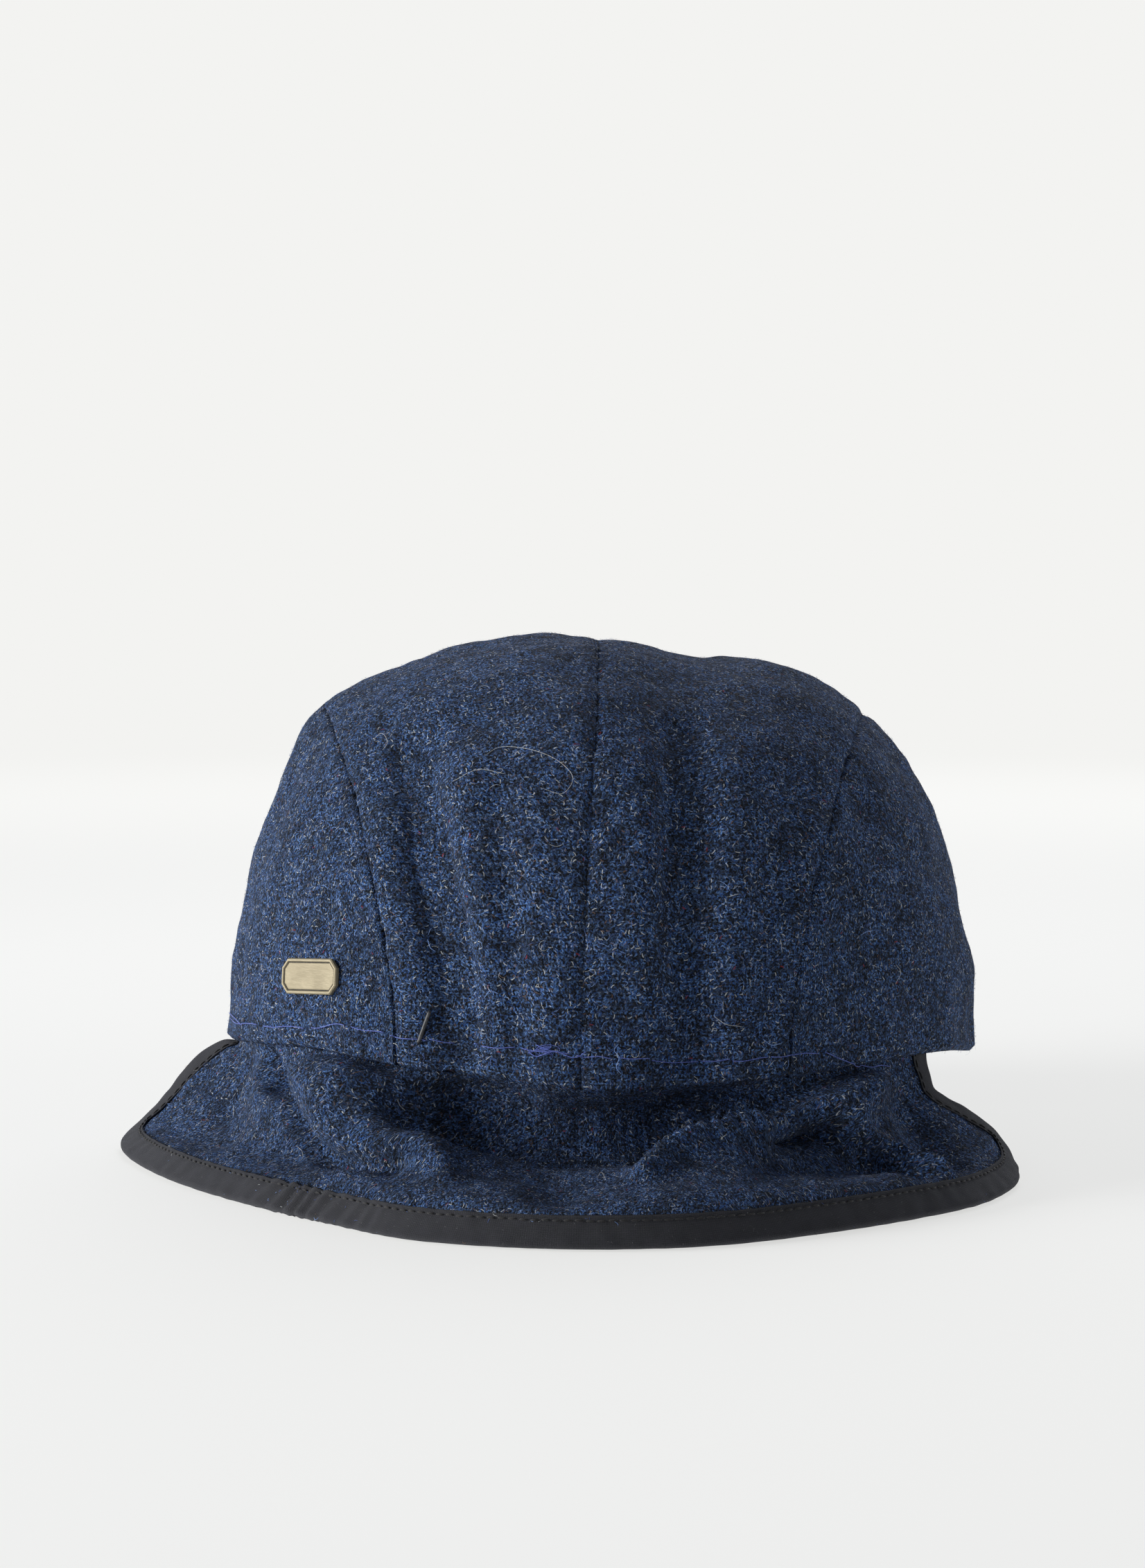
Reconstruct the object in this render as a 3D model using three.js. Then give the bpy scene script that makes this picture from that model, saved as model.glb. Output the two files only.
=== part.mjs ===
// A soft wool cap with a turned-out ear and neck flap, standing on a table as it was left.
// Millimetres, +Z up. -Y is the back of the cap, +X its right seen from behind, z = 0 the table.
import * as THREE from "three";

const { degToRad, radToDeg, clamp, lerp } = THREE.MathUtils;

// Crown
const HALF_WIDTH = 96; // at the hem, outside
const HALF_LENGTH = 98; // at the hem, outside
const CROWN_HEIGHT = 104; // above the hem
const FULLNESS = 2.5; // 2 is an ellipse, more is squarer
const HEM_HEIGHT = 27; // hem above the table, at the sides
const CROWN_TILT = 2; // degrees, back up
const CROWN_CLOTH = 2;
const FOLD_DEPTH = 3;
const SEAM_GAP = 0.3;

// Ear and neck flap
const FLAP_REACH = 44; // of its edge beyond the hem, at the back
const FLAP_CLOTH = 1.4;
const TUCK_UP = 9; // sewn in above the hem
const TUCK_GAP = 0.8; // from the crown's inner face

// Binding folded round the flap's edge
const TAPE_WIDTH = 8;
const TAPE_CLOTH = 1;
const TAPE_GAP = 0.4;

// Peak
const PEAK_LENGTH = 52; // beyond the hem, at the front
const PEAK_END = 7; // beyond the hem, at each end
const PEAK_CLOTH = 3;
const PEAK_SPAN = 61; // degrees to each side of the front
const PEAK_ARCH = 5; // its edge off the table, at the front
const PEAK_SEAT = 0.1; // middle of its edge above the table, at the ends

// Badge
const BADGE_WIDTH = 21;
const BADGE_HEIGHT = 8.6;
const BADGE_THICKNESS = 1.2;
const BADGE_CORNER = 2.2;
const BADGE_RIM = 0.8;
const BADGE_RECESS = 0.3;
const BADGE_GAP = 0.3;
const BADGE_AZIMUTH = -46; // degrees from the back
const BADGE_RISE = 11.2; // degrees above the hem
const BADGE_ROLL = 3.4; // degrees

// How finely the surfaces are divided
const CROWN_STEPS = 40;
const TOP_STEPS = 9;
const SIDE_STEPS = 7;
const FLAP_STEPS = 56;
const PEAK_STEPS = 24;
const PEAK_ROW_STEPS = 8;
const CORNER_STEPS = 5;
const BOUND_FROM_ROW = 3; // first row of the flap whose end is bound
const WALK_STEPS = 4;

// Seams: sideways place, as a share of the way from the crown's middle, at the back hem,
// the top and the front hem, and how late the seam turns away from the top
const SEAMS = {
  left: { back: -0.575, top: -0.82, front: -0.55, bend: 1.5 },
  centre: { back: -0.047, top: 0, front: 0, bend: 4 },
  right: { back: 0.512, top: 0.82, front: 0.55, bend: 1.5 },
};

// Height of the hem round the crown: azimuth in degrees from the back, lift as a share of HEM_HEIGHT
const HEM_WAVE = [
  { at: -180, lift: 0 },
  { at: -110, lift: 0 },
  { at: -90, lift: 0 },
  { at: -65, lift: 0.1 },
  { at: -45, lift: 0.15 },
  { at: -20, lift: 0.03 },
  { at: 0, lift: -0.08 },
  { at: 20, lift: -0.04 },
  { at: 45, lift: 0.05 },
  { at: 62, lift: 0.04 },
  { at: 90, lift: -0.12 },
  { at: 110, lift: -0.05 },
  { at: 180, lift: 0 },
];

// Folds that run up the back and over the top: sideways place at the hem, lower back and top,
// first and last degree of the turn from back hem to front hem, width, depth as a share of FOLD_DEPTH
const FOLDS = [
  { hem: -0.34, back: -0.42, top: -0.49, from: 0, to: 52, width: 0.075, depth: -0.9 },
  { hem: -0.22, back: -0.27, top: -0.3, from: 0, to: 34, width: 0.05, depth: -0.35 },
  { hem: 0.23, back: 0.195, top: 0.21, from: 0, to: 52, width: 0.085, depth: -0.85 },
  { hem: 0.2, back: 0.2, top: 0.22, from: 62, to: 130, width: 0.14, depth: -1.7 },
];

const FOLD_PATH = [0, 30, 90, 180]; // degrees of the turn at hem, back, top and front hem
const FOLD_FADE = { in: 25, out: 20, past: 10 }; // degrees over which a fold begins and ends

// Dents and swellings: azimuth and rise in degrees, spread each way, depth as a share of FOLD_DEPTH
const DENTS = [
  { azimuth: -92, rise: 22, wide: 34, tall: 17, depth: -0.8 },
  { azimuth: -92, rise: 49, wide: 28, tall: 6, depth: 1.2 },
  { azimuth: 92, rise: 20, wide: 12, tall: 3.5, depth: -0.45 },
  { azimuth: 88, rise: 12, wide: 14, tall: 5, depth: 0.3 },
  { azimuth: 150, rise: 30, wide: 14, tall: 22, depth: -0.6 },
  { azimuth: -146, rise: 34, wide: 15, tall: 24, depth: -0.7 },
];

// Sections of the flap, from its left end to its right end: azimuths of hem and edge in degrees,
// reach as a share of FLAP_REACH, then four points between hem and edge: how far out, as a share
// of the way to the edge, and how high, as a share of the hem's height there
const FLAP_SECTIONS = [
  { hemAt: -87, edgeAt: -87, reach: 0.61, tuckOut: 0.12, tuckHigh: 0.86, ridgeOut: 0.36, ridgeHigh: 0.76,
    slopeOut: 0.58, slopeHigh: 0.47, rimOut: 0.8, rimHigh: 0.2 },
  { hemAt: -76, edgeAt: -79, reach: 0.575, tuckOut: 0.08, tuckHigh: 0.8, ridgeOut: 0.3, ridgeHigh: 0.52,
    slopeOut: 0.58, slopeHigh: 0.27, rimOut: 0.82, rimHigh: 0.16 },
  { hemAt: -63, edgeAt: -64, reach: 0.53, tuckOut: 0.02, tuckHigh: 0.74, ridgeOut: 0.24, ridgeHigh: 0.44,
    slopeOut: 0.52, slopeHigh: 0.25, rimOut: 0.82, rimHigh: 0.17 },
  { hemAt: -50, edgeAt: -49, reach: 0.54, tuckOut: -0.02, tuckHigh: 0.74, ridgeOut: 0.12, ridgeHigh: 0.46,
    slopeOut: 0.46, slopeHigh: 0.26, rimOut: 0.82, rimHigh: 0.18 },
  { hemAt: -41, edgeAt: -38, reach: 0.61, tuckOut: 0.16, tuckHigh: 0.88, ridgeOut: 0.3, ridgeHigh: 0.62,
    slopeOut: 0.44, slopeHigh: 0.28, rimOut: 0.84, rimHigh: 0.19 },
  { hemAt: -32, edgeAt: -28, reach: 0.73, tuckOut: 0.22, tuckHigh: 0.88, ridgeOut: 0.42, ridgeHigh: 0.7,
    slopeOut: 0.54, slopeHigh: 0.32, rimOut: 0.85, rimHigh: 0.24 },
  { hemAt: -22, edgeAt: -18, reach: 0.92, tuckOut: 0.02, tuckHigh: 0.74, ridgeOut: 0.32, ridgeHigh: 0.62,
    slopeOut: 0.58, slopeHigh: 0.38, rimOut: 0.89, rimHigh: 0.28 },
  { hemAt: -8, edgeAt: -6, reach: 1, tuckOut: -0.04, tuckHigh: 0.6, ridgeOut: 0.2, ridgeHigh: 0.46,
    slopeOut: 0.62, slopeHigh: 0.38, rimOut: 0.92, rimHigh: 0.3 },
  { hemAt: 4, edgeAt: 4, reach: 1, tuckOut: -0.04, tuckHigh: 0.6, ridgeOut: 0.2, ridgeHigh: 0.46,
    slopeOut: 0.62, slopeHigh: 0.4, rimOut: 0.92, rimHigh: 0.3 },
  { hemAt: 14, edgeAt: 12, reach: 0.95, tuckOut: -0.02, tuckHigh: 0.66, ridgeOut: 0.28, ridgeHigh: 0.58,
    slopeOut: 0.6, slopeHigh: 0.4, rimOut: 0.91, rimHigh: 0.3 },
  { hemAt: 24, edgeAt: 22, reach: 0.83, tuckOut: 0.08, tuckHigh: 0.78, ridgeOut: 0.28, ridgeHigh: 0.68,
    slopeOut: 0.44, slopeHigh: 0.34, rimOut: 0.89, rimHigh: 0.29 },
  { hemAt: 33, edgeAt: 33, reach: 0.74, tuckOut: 0.14, tuckHigh: 0.86, ridgeOut: 0.28, ridgeHigh: 0.66,
    slopeOut: 0.4, slopeHigh: 0.28, rimOut: 0.86, rimHigh: 0.27 },
  { hemAt: 42, edgeAt: 44, reach: 0.68, tuckOut: 0.1, tuckHigh: 0.84, ridgeOut: 0.24, ridgeHigh: 0.56,
    slopeOut: 0.5, slopeHigh: 0.34, rimOut: 0.84, rimHigh: 0.26 },
  { hemAt: 51, edgeAt: 55, reach: 0.55, tuckOut: 0.06, tuckHigh: 0.82, ridgeOut: 0.14, ridgeHigh: 0.64,
    slopeOut: 0.5, slopeHigh: 0.44, rimOut: 0.8, rimHigh: 0.29 },
  { hemAt: 58, edgeAt: 66, reach: 0.38, tuckOut: 0.04, tuckHigh: 0.82, ridgeOut: 0.12, ridgeHigh: 0.66,
    slopeOut: 0.44, slopeHigh: 0.5, rimOut: 0.74, rimHigh: 0.31 },
];

// Share of the way down the flap at which each point of a section lies: the sewn-in edge, the hem,
// the tuck, the ridge, the slope, the rim and the free edge
const FLAP_LEVELS = [0, 0.16, 0.27, 0.42, 0.64, 0.87, 1];
const FLAP_ROWS = [0, 0.08, 0.17, 0.23, 0.31, 0.4, 0.49, 0.58, 0.68, 0.78, 0.87, 0.935, 1];
const FLAP_ROW_STEPS = FLAP_ROWS.length - 1;
const FLAP_CORNER = { along: 0.075, down: 0.16 }; // how far the round corners reach
const HEM_DROP = 0.05; // how far under the hem the flap comes out, as a share of HEM_HEIGHT

// The peak between its hem and its edge: share of the way out, and share of the way down
const PEAK_SECTION = [
  { out: 0.16, down: 0.26 },
  { out: 0.56, down: 0.62 },
];
const PEAK_LEVELS = [0, 0.15, 0.3, 0.65, 1]; // sewn-in edge, hem, the two points between, free edge
const PEAK_SWEEP = 0.75; // less is a squarer peak, seen from above

// A smooth curve through the values at the knots
function spline(knots, values, at) {
  const last = knots.length - 1;
  let k = 0;
  while (k < last - 1 && at >= knots[k + 1]) {
    k += 1;
  }
  const step = knots[k + 1] - knots[k];
  const slopeAt = (i) => {
    const before = Math.max(i - 1, 0);
    const after = Math.min(i + 1, last);
    return (values[after] - values[before]) / (knots[after] - knots[before]);
  };
  const t = (at - knots[k]) / step;
  const rise = t * t * (3 - 2 * t);
  return (
    lerp(values[k], values[k + 1], rise) +
    slopeAt(k) * step * t * (1 - t) * (1 - t) -
    slopeAt(k + 1) * step * t * t * (1 - t)
  );
}

function bell(x) {
  return Math.exp(-0.5 * x * x);
}

function ease(from, to, x) {
  const t = clamp((x - from) / (to - from), 0, 1);
  return t * t * (3 - 2 * t);
}

// Unit direction from azimuth and rise in degrees
function aim(azimuth, rise) {
  const a = degToRad(azimuth);
  const r = degToRad(rise);
  return new THREE.Vector3(Math.sin(a) * Math.cos(r), -Math.cos(a) * Math.cos(r), Math.sin(r));
}

function azimuthOf(v) {
  return radToDeg(Math.atan2(v.x, -v.y));
}

function turnApart(a, b) {
  return ((((a - b) % 360) + 540) % 360) - 180;
}

// Distance from the crown's middle to its smooth surface, without folds
function smoothRadius(direction, inset) {
  const plan = (direction.x / (HALF_WIDTH - inset)) ** 2 + (direction.y / (HALF_LENGTH - inset)) ** 2;
  const up = Math.abs(direction.z) / (CROWN_HEIGHT - inset);
  return (plan ** (FULLNESS / 2) + up ** FULLNESS) ** (-1 / FULLNESS);
}

function hemLift(azimuth) {
  const knots = HEM_WAVE.map((w) => w.at);
  const lifts = HEM_WAVE.map((w) => w.lift);
  return HEM_HEIGHT * spline(knots, lifts, azimuth);
}

// Folds and dents: how far the surface stands out
function relief(direction) {
  const sideways = direction.x / Math.hypot(direction.y, direction.z);
  const turn = radToDeg(Math.atan2(direction.z, -direction.y));
  const azimuth = azimuthOf(direction);
  const rise = radToDeg(Math.asin(direction.z));
  let out = 0;
  for (const fold of FOLDS) {
    const path = spline(FOLD_PATH, [fold.hem, fold.back, fold.top, fold.top], turn);
    const begun = ease(fold.from - FOLD_FADE.in, fold.from, turn);
    const ended = ease(fold.to - FOLD_FADE.out, fold.to + FOLD_FADE.past, turn);
    out += fold.depth * bell((sideways - path) / fold.width) * begun * (1 - ended);
  }
  for (const dent of DENTS) {
    const across = turnApart(azimuth, dent.azimuth) / dent.wide;
    out += dent.depth * bell(across) * bell((rise - dent.rise) / dent.tall);
  }
  return FOLD_DEPTH * out;
}

// A point of the crown in its own frame, inset from the outer face
function crownPoint(direction, inset) {
  const d = direction.clone().normalize();
  const p = d.clone().multiplyScalar(smoothRadius(d, inset) + relief(d));
  p.z += hemLift(azimuthOf(p)) * (1 - p.z / CROWN_HEIGHT) ** 2;
  return p;
}

function stripDirection(sideways, turn) {
  return new THREE.Vector3(sideways, -Math.cos(turn), Math.sin(turn));
}

function seamAt(seam, turn) {
  const end = Math.cos(turn) > 0 ? seam.back : seam.front;
  return lerp(seam.top, end, Math.abs(Math.cos(turn)) ** seam.bend);
}

// Sideways place at a small distance beside a seam
function besideSeam(seam, turn, distance) {
  const sideways = seamAt(seam, turn);
  const radius = smoothRadius(stripDirection(sideways, turn).normalize(), 0);
  return sideways + (distance * (1 + sideways * sideways)) / radius;
}

// A closed body from triangles over points, with doubled points joined and faces pointing out
function closedBody(points, faces) {
  const seen = new Map();
  const merged = [];
  const index = points.map((p) => {
    const key = p.toArray().map((v) => Math.round(v * 1000)).join(" ");
    if (!seen.has(key)) {
      seen.set(key, merged.length);
      merged.push(p);
    }
    return seen.get(key);
  });
  const kept = faces
    .map((face) => face.map((i) => index[i]))
    .filter(([a, b, c]) => a !== b && b !== c && c !== a);
  let volume = 0;
  for (const [a, b, c] of kept) {
    volume += merged[a].dot(new THREE.Vector3().crossVectors(merged[b], merged[c]));
  }
  const outward = volume > 0 ? kept : kept.map(([a, b, c]) => [a, c, b]);
  const geometry = new THREE.BufferGeometry();
  const places = merged.flatMap((p) => p.toArray());
  geometry.setAttribute("position", new THREE.Float32BufferAttribute(places, 3));
  geometry.setIndex(outward.flat());
  geometry.computeVertexNormals();
  return geometry;
}

// A sheet with two faces: front and back give a point for shares i / rows and j / columns
function sheetBody(rows, columns, front, back) {
  const points = [];
  for (const face of [front, back]) {
    for (let i = 0; i <= rows; i++) {
      for (let j = 0; j <= columns; j++) {
        points.push(face(i / rows, j / columns));
      }
    }
  }
  const size = (rows + 1) * (columns + 1);
  const at = (i, j, side) => i * (columns + 1) + j + side * size;
  const faces = [];
  const quad = (a, b, c, d) => faces.push([a, b, c], [a, c, d]);
  for (let i = 0; i < rows; i++) {
    for (let j = 0; j < columns; j++) {
      quad(at(i, j, 0), at(i + 1, j, 0), at(i + 1, j + 1, 0), at(i, j + 1, 0));
      quad(at(i, j, 1), at(i, j + 1, 1), at(i + 1, j + 1, 1), at(i + 1, j, 1));
    }
    quad(at(i, 0, 0), at(i, 0, 1), at(i + 1, 0, 1), at(i + 1, 0, 0));
    quad(at(i, columns, 0), at(i + 1, columns, 0), at(i + 1, columns, 1), at(i, columns, 1));
  }
  for (let j = 0; j < columns; j++) {
    quad(at(0, j, 0), at(0, j + 1, 0), at(0, j + 1, 1), at(0, j, 1));
    quad(at(rows, j, 0), at(rows, j, 1), at(rows, j + 1, 1), at(rows, j + 1, 0));
  }
  return closedBody(points, faces);
}

// How a surface runs along and down at a point, for a small step inside its edges
function surfaceSlopes(surface, along, down) {
  const step = 1e-3;
  const left = Math.max(along - step, 0);
  const right = Math.min(along + step, 1);
  const above = Math.max(down - step, 0);
  const below = Math.min(down + step, 1);
  return {
    along: surface(right, down).sub(surface(left, down)).divideScalar(right - left),
    down: surface(along, below).sub(surface(along, above)).divideScalar(below - above),
  };
}

function surfaceNormal(surface, along, down) {
  const slopes = surfaceSlopes(surface, along, down);
  return slopes.down.cross(slopes.along).normalize();
}

// Half of the top: from the side seam to the centre seam, from the back hem to the front hem
function topPanel(seamA, seamB) {
  const face = (inset) => (share, run) => {
    const turn = run * Math.PI;
    const from = besideSeam(seamA, turn, SEAM_GAP / 2);
    const to = besideSeam(seamB, turn, -SEAM_GAP / 2);
    return crownPoint(stripDirection(lerp(from, to, share), turn), inset);
  };
  return sheetBody(TOP_STEPS, CROWN_STEPS, face(0), face(CROWN_CLOTH));
}

// A side: upright lines from the hem to the seam
function sidePanel(seam) {
  const outward = Math.sign(seam.top);
  const face = (inset) => (share, run) => {
    const turn = run * Math.PI;
    const top = stripDirection(besideSeam(seam, turn, (outward * SEAM_GAP) / 2), turn).normalize();
    return crownPoint(aim(azimuthOf(top), share * radToDeg(Math.asin(top.z))), inset);
  };
  return sheetBody(SIDE_STEPS, CROWN_STEPS, face(0), face(CROWN_CLOTH));
}

// From the crown's own frame to the cap's
function toCap(p) {
  p.applyAxisAngle(new THREE.Vector3(1, 0, 0), -degToRad(CROWN_TILT));
  p.z += HEM_HEIGHT;
  return p;
}

// A point just inside the crown's wall at a height above its hem, in the cap's frame
function insideCrown(azimuth, height, cloth) {
  const rise = radToDeg(Math.atan2(height, HALF_LENGTH));
  return toCap(crownPoint(aim(azimuth, rise), CROWN_CLOTH + TUCK_GAP + cloth / 2));
}

// A point beyond the hem, at the height that an edge folded in binding stands at
function beyondHem(azimuth, reach, height) {
  const d = aim(azimuth, 0);
  const p = d.clone().multiplyScalar(smoothRadius(d, 0) + reach);
  p.z = height;
  return p;
}

// The points of one section of the flap
function flapNodes(section) {
  const hem = insideCrown(section.hemAt, 0, FLAP_CLOTH);
  const edge = beyondHem(section.edgeAt, section.reach * FLAP_REACH, TAPE_GAP + TAPE_CLOTH);
  const between = (out, high) => {
    const p = hem.clone().lerp(edge, out);
    p.z = hem.z * high;
    return p;
  };
  return [
    insideCrown(section.hemAt, TUCK_UP, FLAP_CLOTH),
    hem.clone().sub(new THREE.Vector3(0, 0, HEM_DROP * HEM_HEIGHT)),
    between(section.tuckOut, section.tuckHigh),
    between(section.ridgeOut, section.ridgeHigh),
    between(section.slopeOut, section.slopeHigh),
    between(section.rimOut, section.rimHigh),
    edge,
  ];
}

// The flap's section at a share of the way along it
function flapSection(along) {
  const stations = FLAP_SECTIONS.map((section, i) => i / (FLAP_SECTIONS.length - 1));
  const columns = Object.keys(FLAP_SECTIONS[0]);
  return Object.fromEntries(
    columns.map((name) => [name, spline(stations, FLAP_SECTIONS.map((section) => section[name]), along)]),
  );
}

function flapSurface(along, down) {
  const nodes = flapNodes(flapSection(along));
  const axis = (name) => spline(FLAP_LEVELS, nodes.map((node) => node[name]), down);
  return new THREE.Vector3(axis("x"), axis("y"), axis("z"));
}

// Where the flap is cut: its columns lie closer in the two round corners, where it is shorter
function flapColumn(share) {
  const k = share * FLAP_STEPS;
  const half = Math.min(k, FLAP_STEPS - k);
  const turn = Math.min(half / CORNER_STEPS, 1) * (Math.PI / 2);
  const even = (half - CORNER_STEPS) / (FLAP_STEPS / 2 - CORNER_STEPS);
  const { along, down } = FLAP_CORNER;
  const near = half < CORNER_STEPS ? along * (1 - Math.cos(turn)) : lerp(along, 0.5, even);
  return { along: k > FLAP_STEPS / 2 ? 1 - near : near, length: 1 - down * (1 - Math.sin(turn)) };
}

function flapBody() {
  const face = (side) => (share, row) => {
    const column = flapColumn(share);
    const down = FLAP_ROWS[Math.round(row * FLAP_ROW_STEPS)] * column.length;
    const normal = surfaceNormal(flapSurface, column.along, down);
    return flapSurface(column.along, down).addScaledVector(normal, (side * FLAP_CLOTH) / 2);
  };
  return sheetBody(FLAP_STEPS, FLAP_ROW_STEPS, face(1), face(-1));
}

// The flap's free edge, point by point: down one end from the hem, along, and up the other end
function flapEdge() {
  const ends = [];
  for (let row = BOUND_FROM_ROW; row < FLAP_ROW_STEPS; row++) {
    ends.push({ along: 0, down: FLAP_ROWS[row] * flapColumn(0).length });
  }
  const bottom = [];
  for (let k = 0; k <= FLAP_STEPS; k++) {
    const column = flapColumn(k / FLAP_STEPS);
    bottom.push({ along: column.along, down: column.length });
  }
  return [...ends, ...bottom, ...ends.map((q) => ({ along: 1, down: q.down })).reverse()];
}

// The binding: a channel of tape that holds the flap's edge between its two legs
function bindingBody() {
  const path = flapEdge();
  const inner = FLAP_CLOTH / 2 + TAPE_GAP;
  const outer = inner + TAPE_CLOTH;
  const fold = TAPE_GAP + TAPE_CLOTH;
  const half = TAPE_WIDTH / 2;
  const profile = [
    [TAPE_WIDTH, outer], [half, outer], [0, outer], [-fold, outer / 2],
    [-fold, -outer / 2], [0, -outer], [half, -outer], [TAPE_WIDTH, -outer],
    [TAPE_WIDTH, -inner], [half, -inner], [-TAPE_GAP, -inner],
    [-TAPE_GAP, inner], [half, inner], [TAPE_WIDTH, inner],
  ];
  const points = [];
  path.forEach((q, k) => {
    const before = path[Math.max(k - 1, 0)];
    const after = path[Math.min(k + 1, path.length - 1)];
    const run = flapSurface(after.along, after.down).sub(flapSurface(before.along, before.down));
    const inward = surfaceNormal(flapSurface, q.along, q.down).cross(run).normalize();
    for (const [inset, height] of profile) {
      const foot = walkIn(q, inward, Math.max(inset, 0));
      const p = flapSurface(foot.along, foot.down);
      p.addScaledVector(surfaceNormal(flapSurface, foot.along, foot.down), height);
      p.addScaledVector(inward, Math.min(inset, 0));
      p.z = Math.max(p.z, 0);
      points.push(p);
    }
  });
  const around = profile.length;
  const faces = [];
  for (let k = 0; k < path.length - 1; k++) {
    for (let i = 0; i < around; i++) {
      const a = k * around + i;
      const b = k * around + ((i + 1) % around);
      faces.push([a, b, b + around], [a, b + around, a + around]);
    }
  }
  const outline = profile.map(([x, y]) => new THREE.Vector2(x, y));
  const facesUp = THREE.ShapeUtils.area(outline) > 0;
  const last = (path.length - 1) * around;
  for (const [a, b, c] of THREE.ShapeUtils.triangulateShape(outline, [])) {
    const alike = THREE.ShapeUtils.area([outline[a], outline[b], outline[c]]) > 0 === facesUp;
    const [first, second] = alike ? [b, c] : [c, b];
    faces.push([a, second, first], [last + a, last + first, last + second]);
  }
  return closedBody(points, faces);
}

// Walk over the flap from an edge point in a direction, a given distance
function walkIn(start, direction, distance) {
  const q = { ...start };
  for (let k = 0; k < WALK_STEPS; k++) {
    const slopes = surfaceSlopes(flapSurface, q.along, q.down);
    const aa = slopes.along.dot(slopes.along);
    const ad = slopes.along.dot(slopes.down);
    const dd = slopes.down.dot(slopes.down);
    const ra = slopes.along.dot(direction);
    const rd = slopes.down.dot(direction);
    const det = aa * dd - ad * ad;
    const move = new THREE.Vector2((dd * ra - ad * rd) / det, (aa * rd - ad * ra) / det);
    const step = slopes.along.clone().multiplyScalar(move.x).addScaledVector(slopes.down, move.y);
    const stride = distance / WALK_STEPS / step.length();
    q.along += move.x * stride;
    q.down += move.y * stride;
  }
  return q;
}

// The peak's section at a share of the way along it, from its right end to its left end
function peakNodes(along) {
  const side = 2 * along - 1;
  const swell = 1 - side * side;
  const azimuth = 180 - side * PEAK_SPAN;
  const hemAt = azimuth > 180 ? azimuth - 360 : azimuth;
  const hem = insideCrown(hemAt, 0, PEAK_CLOTH);
  const reach = lerp(PEAK_END, PEAK_LENGTH, swell ** PEAK_SWEEP);
  const edge = beyondHem(azimuth, reach, PEAK_SEAT + PEAK_ARCH * swell);
  const between = ({ out, down }) => {
    const p = hem.clone().lerp(edge, out);
    p.z = lerp(hem.z, edge.z, down);
    return p;
  };
  return [
    insideCrown(hemAt, TUCK_UP, PEAK_CLOTH),
    hem.clone().sub(new THREE.Vector3(0, 0, HEM_DROP * HEM_HEIGHT)),
    ...PEAK_SECTION.map(between),
    edge,
  ];
}

// The peak: sewn in under the front hem, sloping down to the table
function peakBody() {
  const surface = (along, down) => {
    const nodes = peakNodes(along);
    const axis = (name) => spline(PEAK_LEVELS, nodes.map((node) => node[name]), down);
    return new THREE.Vector3(axis("x"), axis("y"), axis("z"));
  };
  const face = (side) => (along, down) => {
    const normal = surfaceNormal(surface, along, down);
    const p = surface(along, down).addScaledVector(normal, (side * PEAK_CLOTH) / 2);
    p.z = Math.max(p.z, 0);
    return p;
  };
  return sheetBody(PEAK_STEPS, PEAK_ROW_STEPS, face(1), face(-1));
}

// The badge: a plate with cut corners and a raised rim, lying on the left side of the crown
function badgeBody() {
  const ring = (inset, height) => {
    const w = BADGE_WIDTH / 2 - inset;
    const h = BADGE_HEIGHT / 2 - inset;
    const c = BADGE_CORNER - inset * (2 - Math.SQRT2);
    const corners = [
      [w, c - h], [w, h - c], [w - c, h], [c - w, h],
      [-w, h - c], [-w, c - h], [c - w, -h], [w - c, -h],
    ];
    return corners.map(([x, y]) => new THREE.Vector3(x, y, height));
  };
  const rings = [
    ring(0, 0),
    ring(0, BADGE_THICKNESS),
    ring(BADGE_RIM, BADGE_THICKNESS),
    ring(BADGE_RIM, BADGE_THICKNESS - BADGE_RECESS),
  ];
  const count = rings[0].length;
  const faces = [];
  for (let r = 0; r < rings.length - 1; r++) {
    for (let i = 0; i < count; i++) {
      const a = r * count + i;
      const b = r * count + ((i + 1) % count);
      faces.push([a, b, b + count], [a, b + count, a + count]);
    }
  }
  const last = (rings.length - 1) * count;
  for (let i = 1; i < count - 1; i++) {
    faces.push([0, i + 1, i], [last, last + i, last + i + 1]);
  }
  return closedBody(rings.flat(), faces);
}

function placeBadge(mesh) {
  const near = (turn, rise) => crownPoint(aim(BADGE_AZIMUTH + turn, BADGE_RISE + rise), 0);
  const touch = near(0, 0);
  const side = near(1, 0).sub(near(-1, 0));
  const up = near(0, 1).sub(near(0, -1));
  const normal = side.clone().cross(up).normalize();
  side.applyAxisAngle(normal, degToRad(BADGE_ROLL)).normalize();
  up.copy(normal).cross(side);
  mesh.setRotationFromMatrix(new THREE.Matrix4().makeBasis(side, up, normal));
  mesh.position.copy(touch).addScaledVector(normal, BADGE_GAP);
}

function wool(colour) {
  return new THREE.MeshStandardMaterial({ color: colour, roughness: 0.95, metalness: 0 });
}

function named(name, geometry, material) {
  const mesh = new THREE.Mesh(geometry, material);
  mesh.name = name;
  return mesh;
}

const crown = new THREE.Group();
crown.position.z = HEM_HEIGHT;
crown.rotation.x = -degToRad(CROWN_TILT);
crown.add(
  named("crown_side_left", sidePanel(SEAMS.left), wool(0x2b3a5c)),
  named("crown_top_left", topPanel(SEAMS.left, SEAMS.centre), wool(0x273553)),
  named("crown_top_right", topPanel(SEAMS.centre, SEAMS.right), wool(0x243150)),
  named("crown_side_right", sidePanel(SEAMS.right), wool(0x202c48)),
);

const badge = named(
  "badge",
  badgeBody(),
  new THREE.MeshStandardMaterial({ color: 0x9a8f6d, roughness: 0.4, metalness: 0.9 }),
);
placeBadge(badge);
crown.add(badge);

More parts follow.
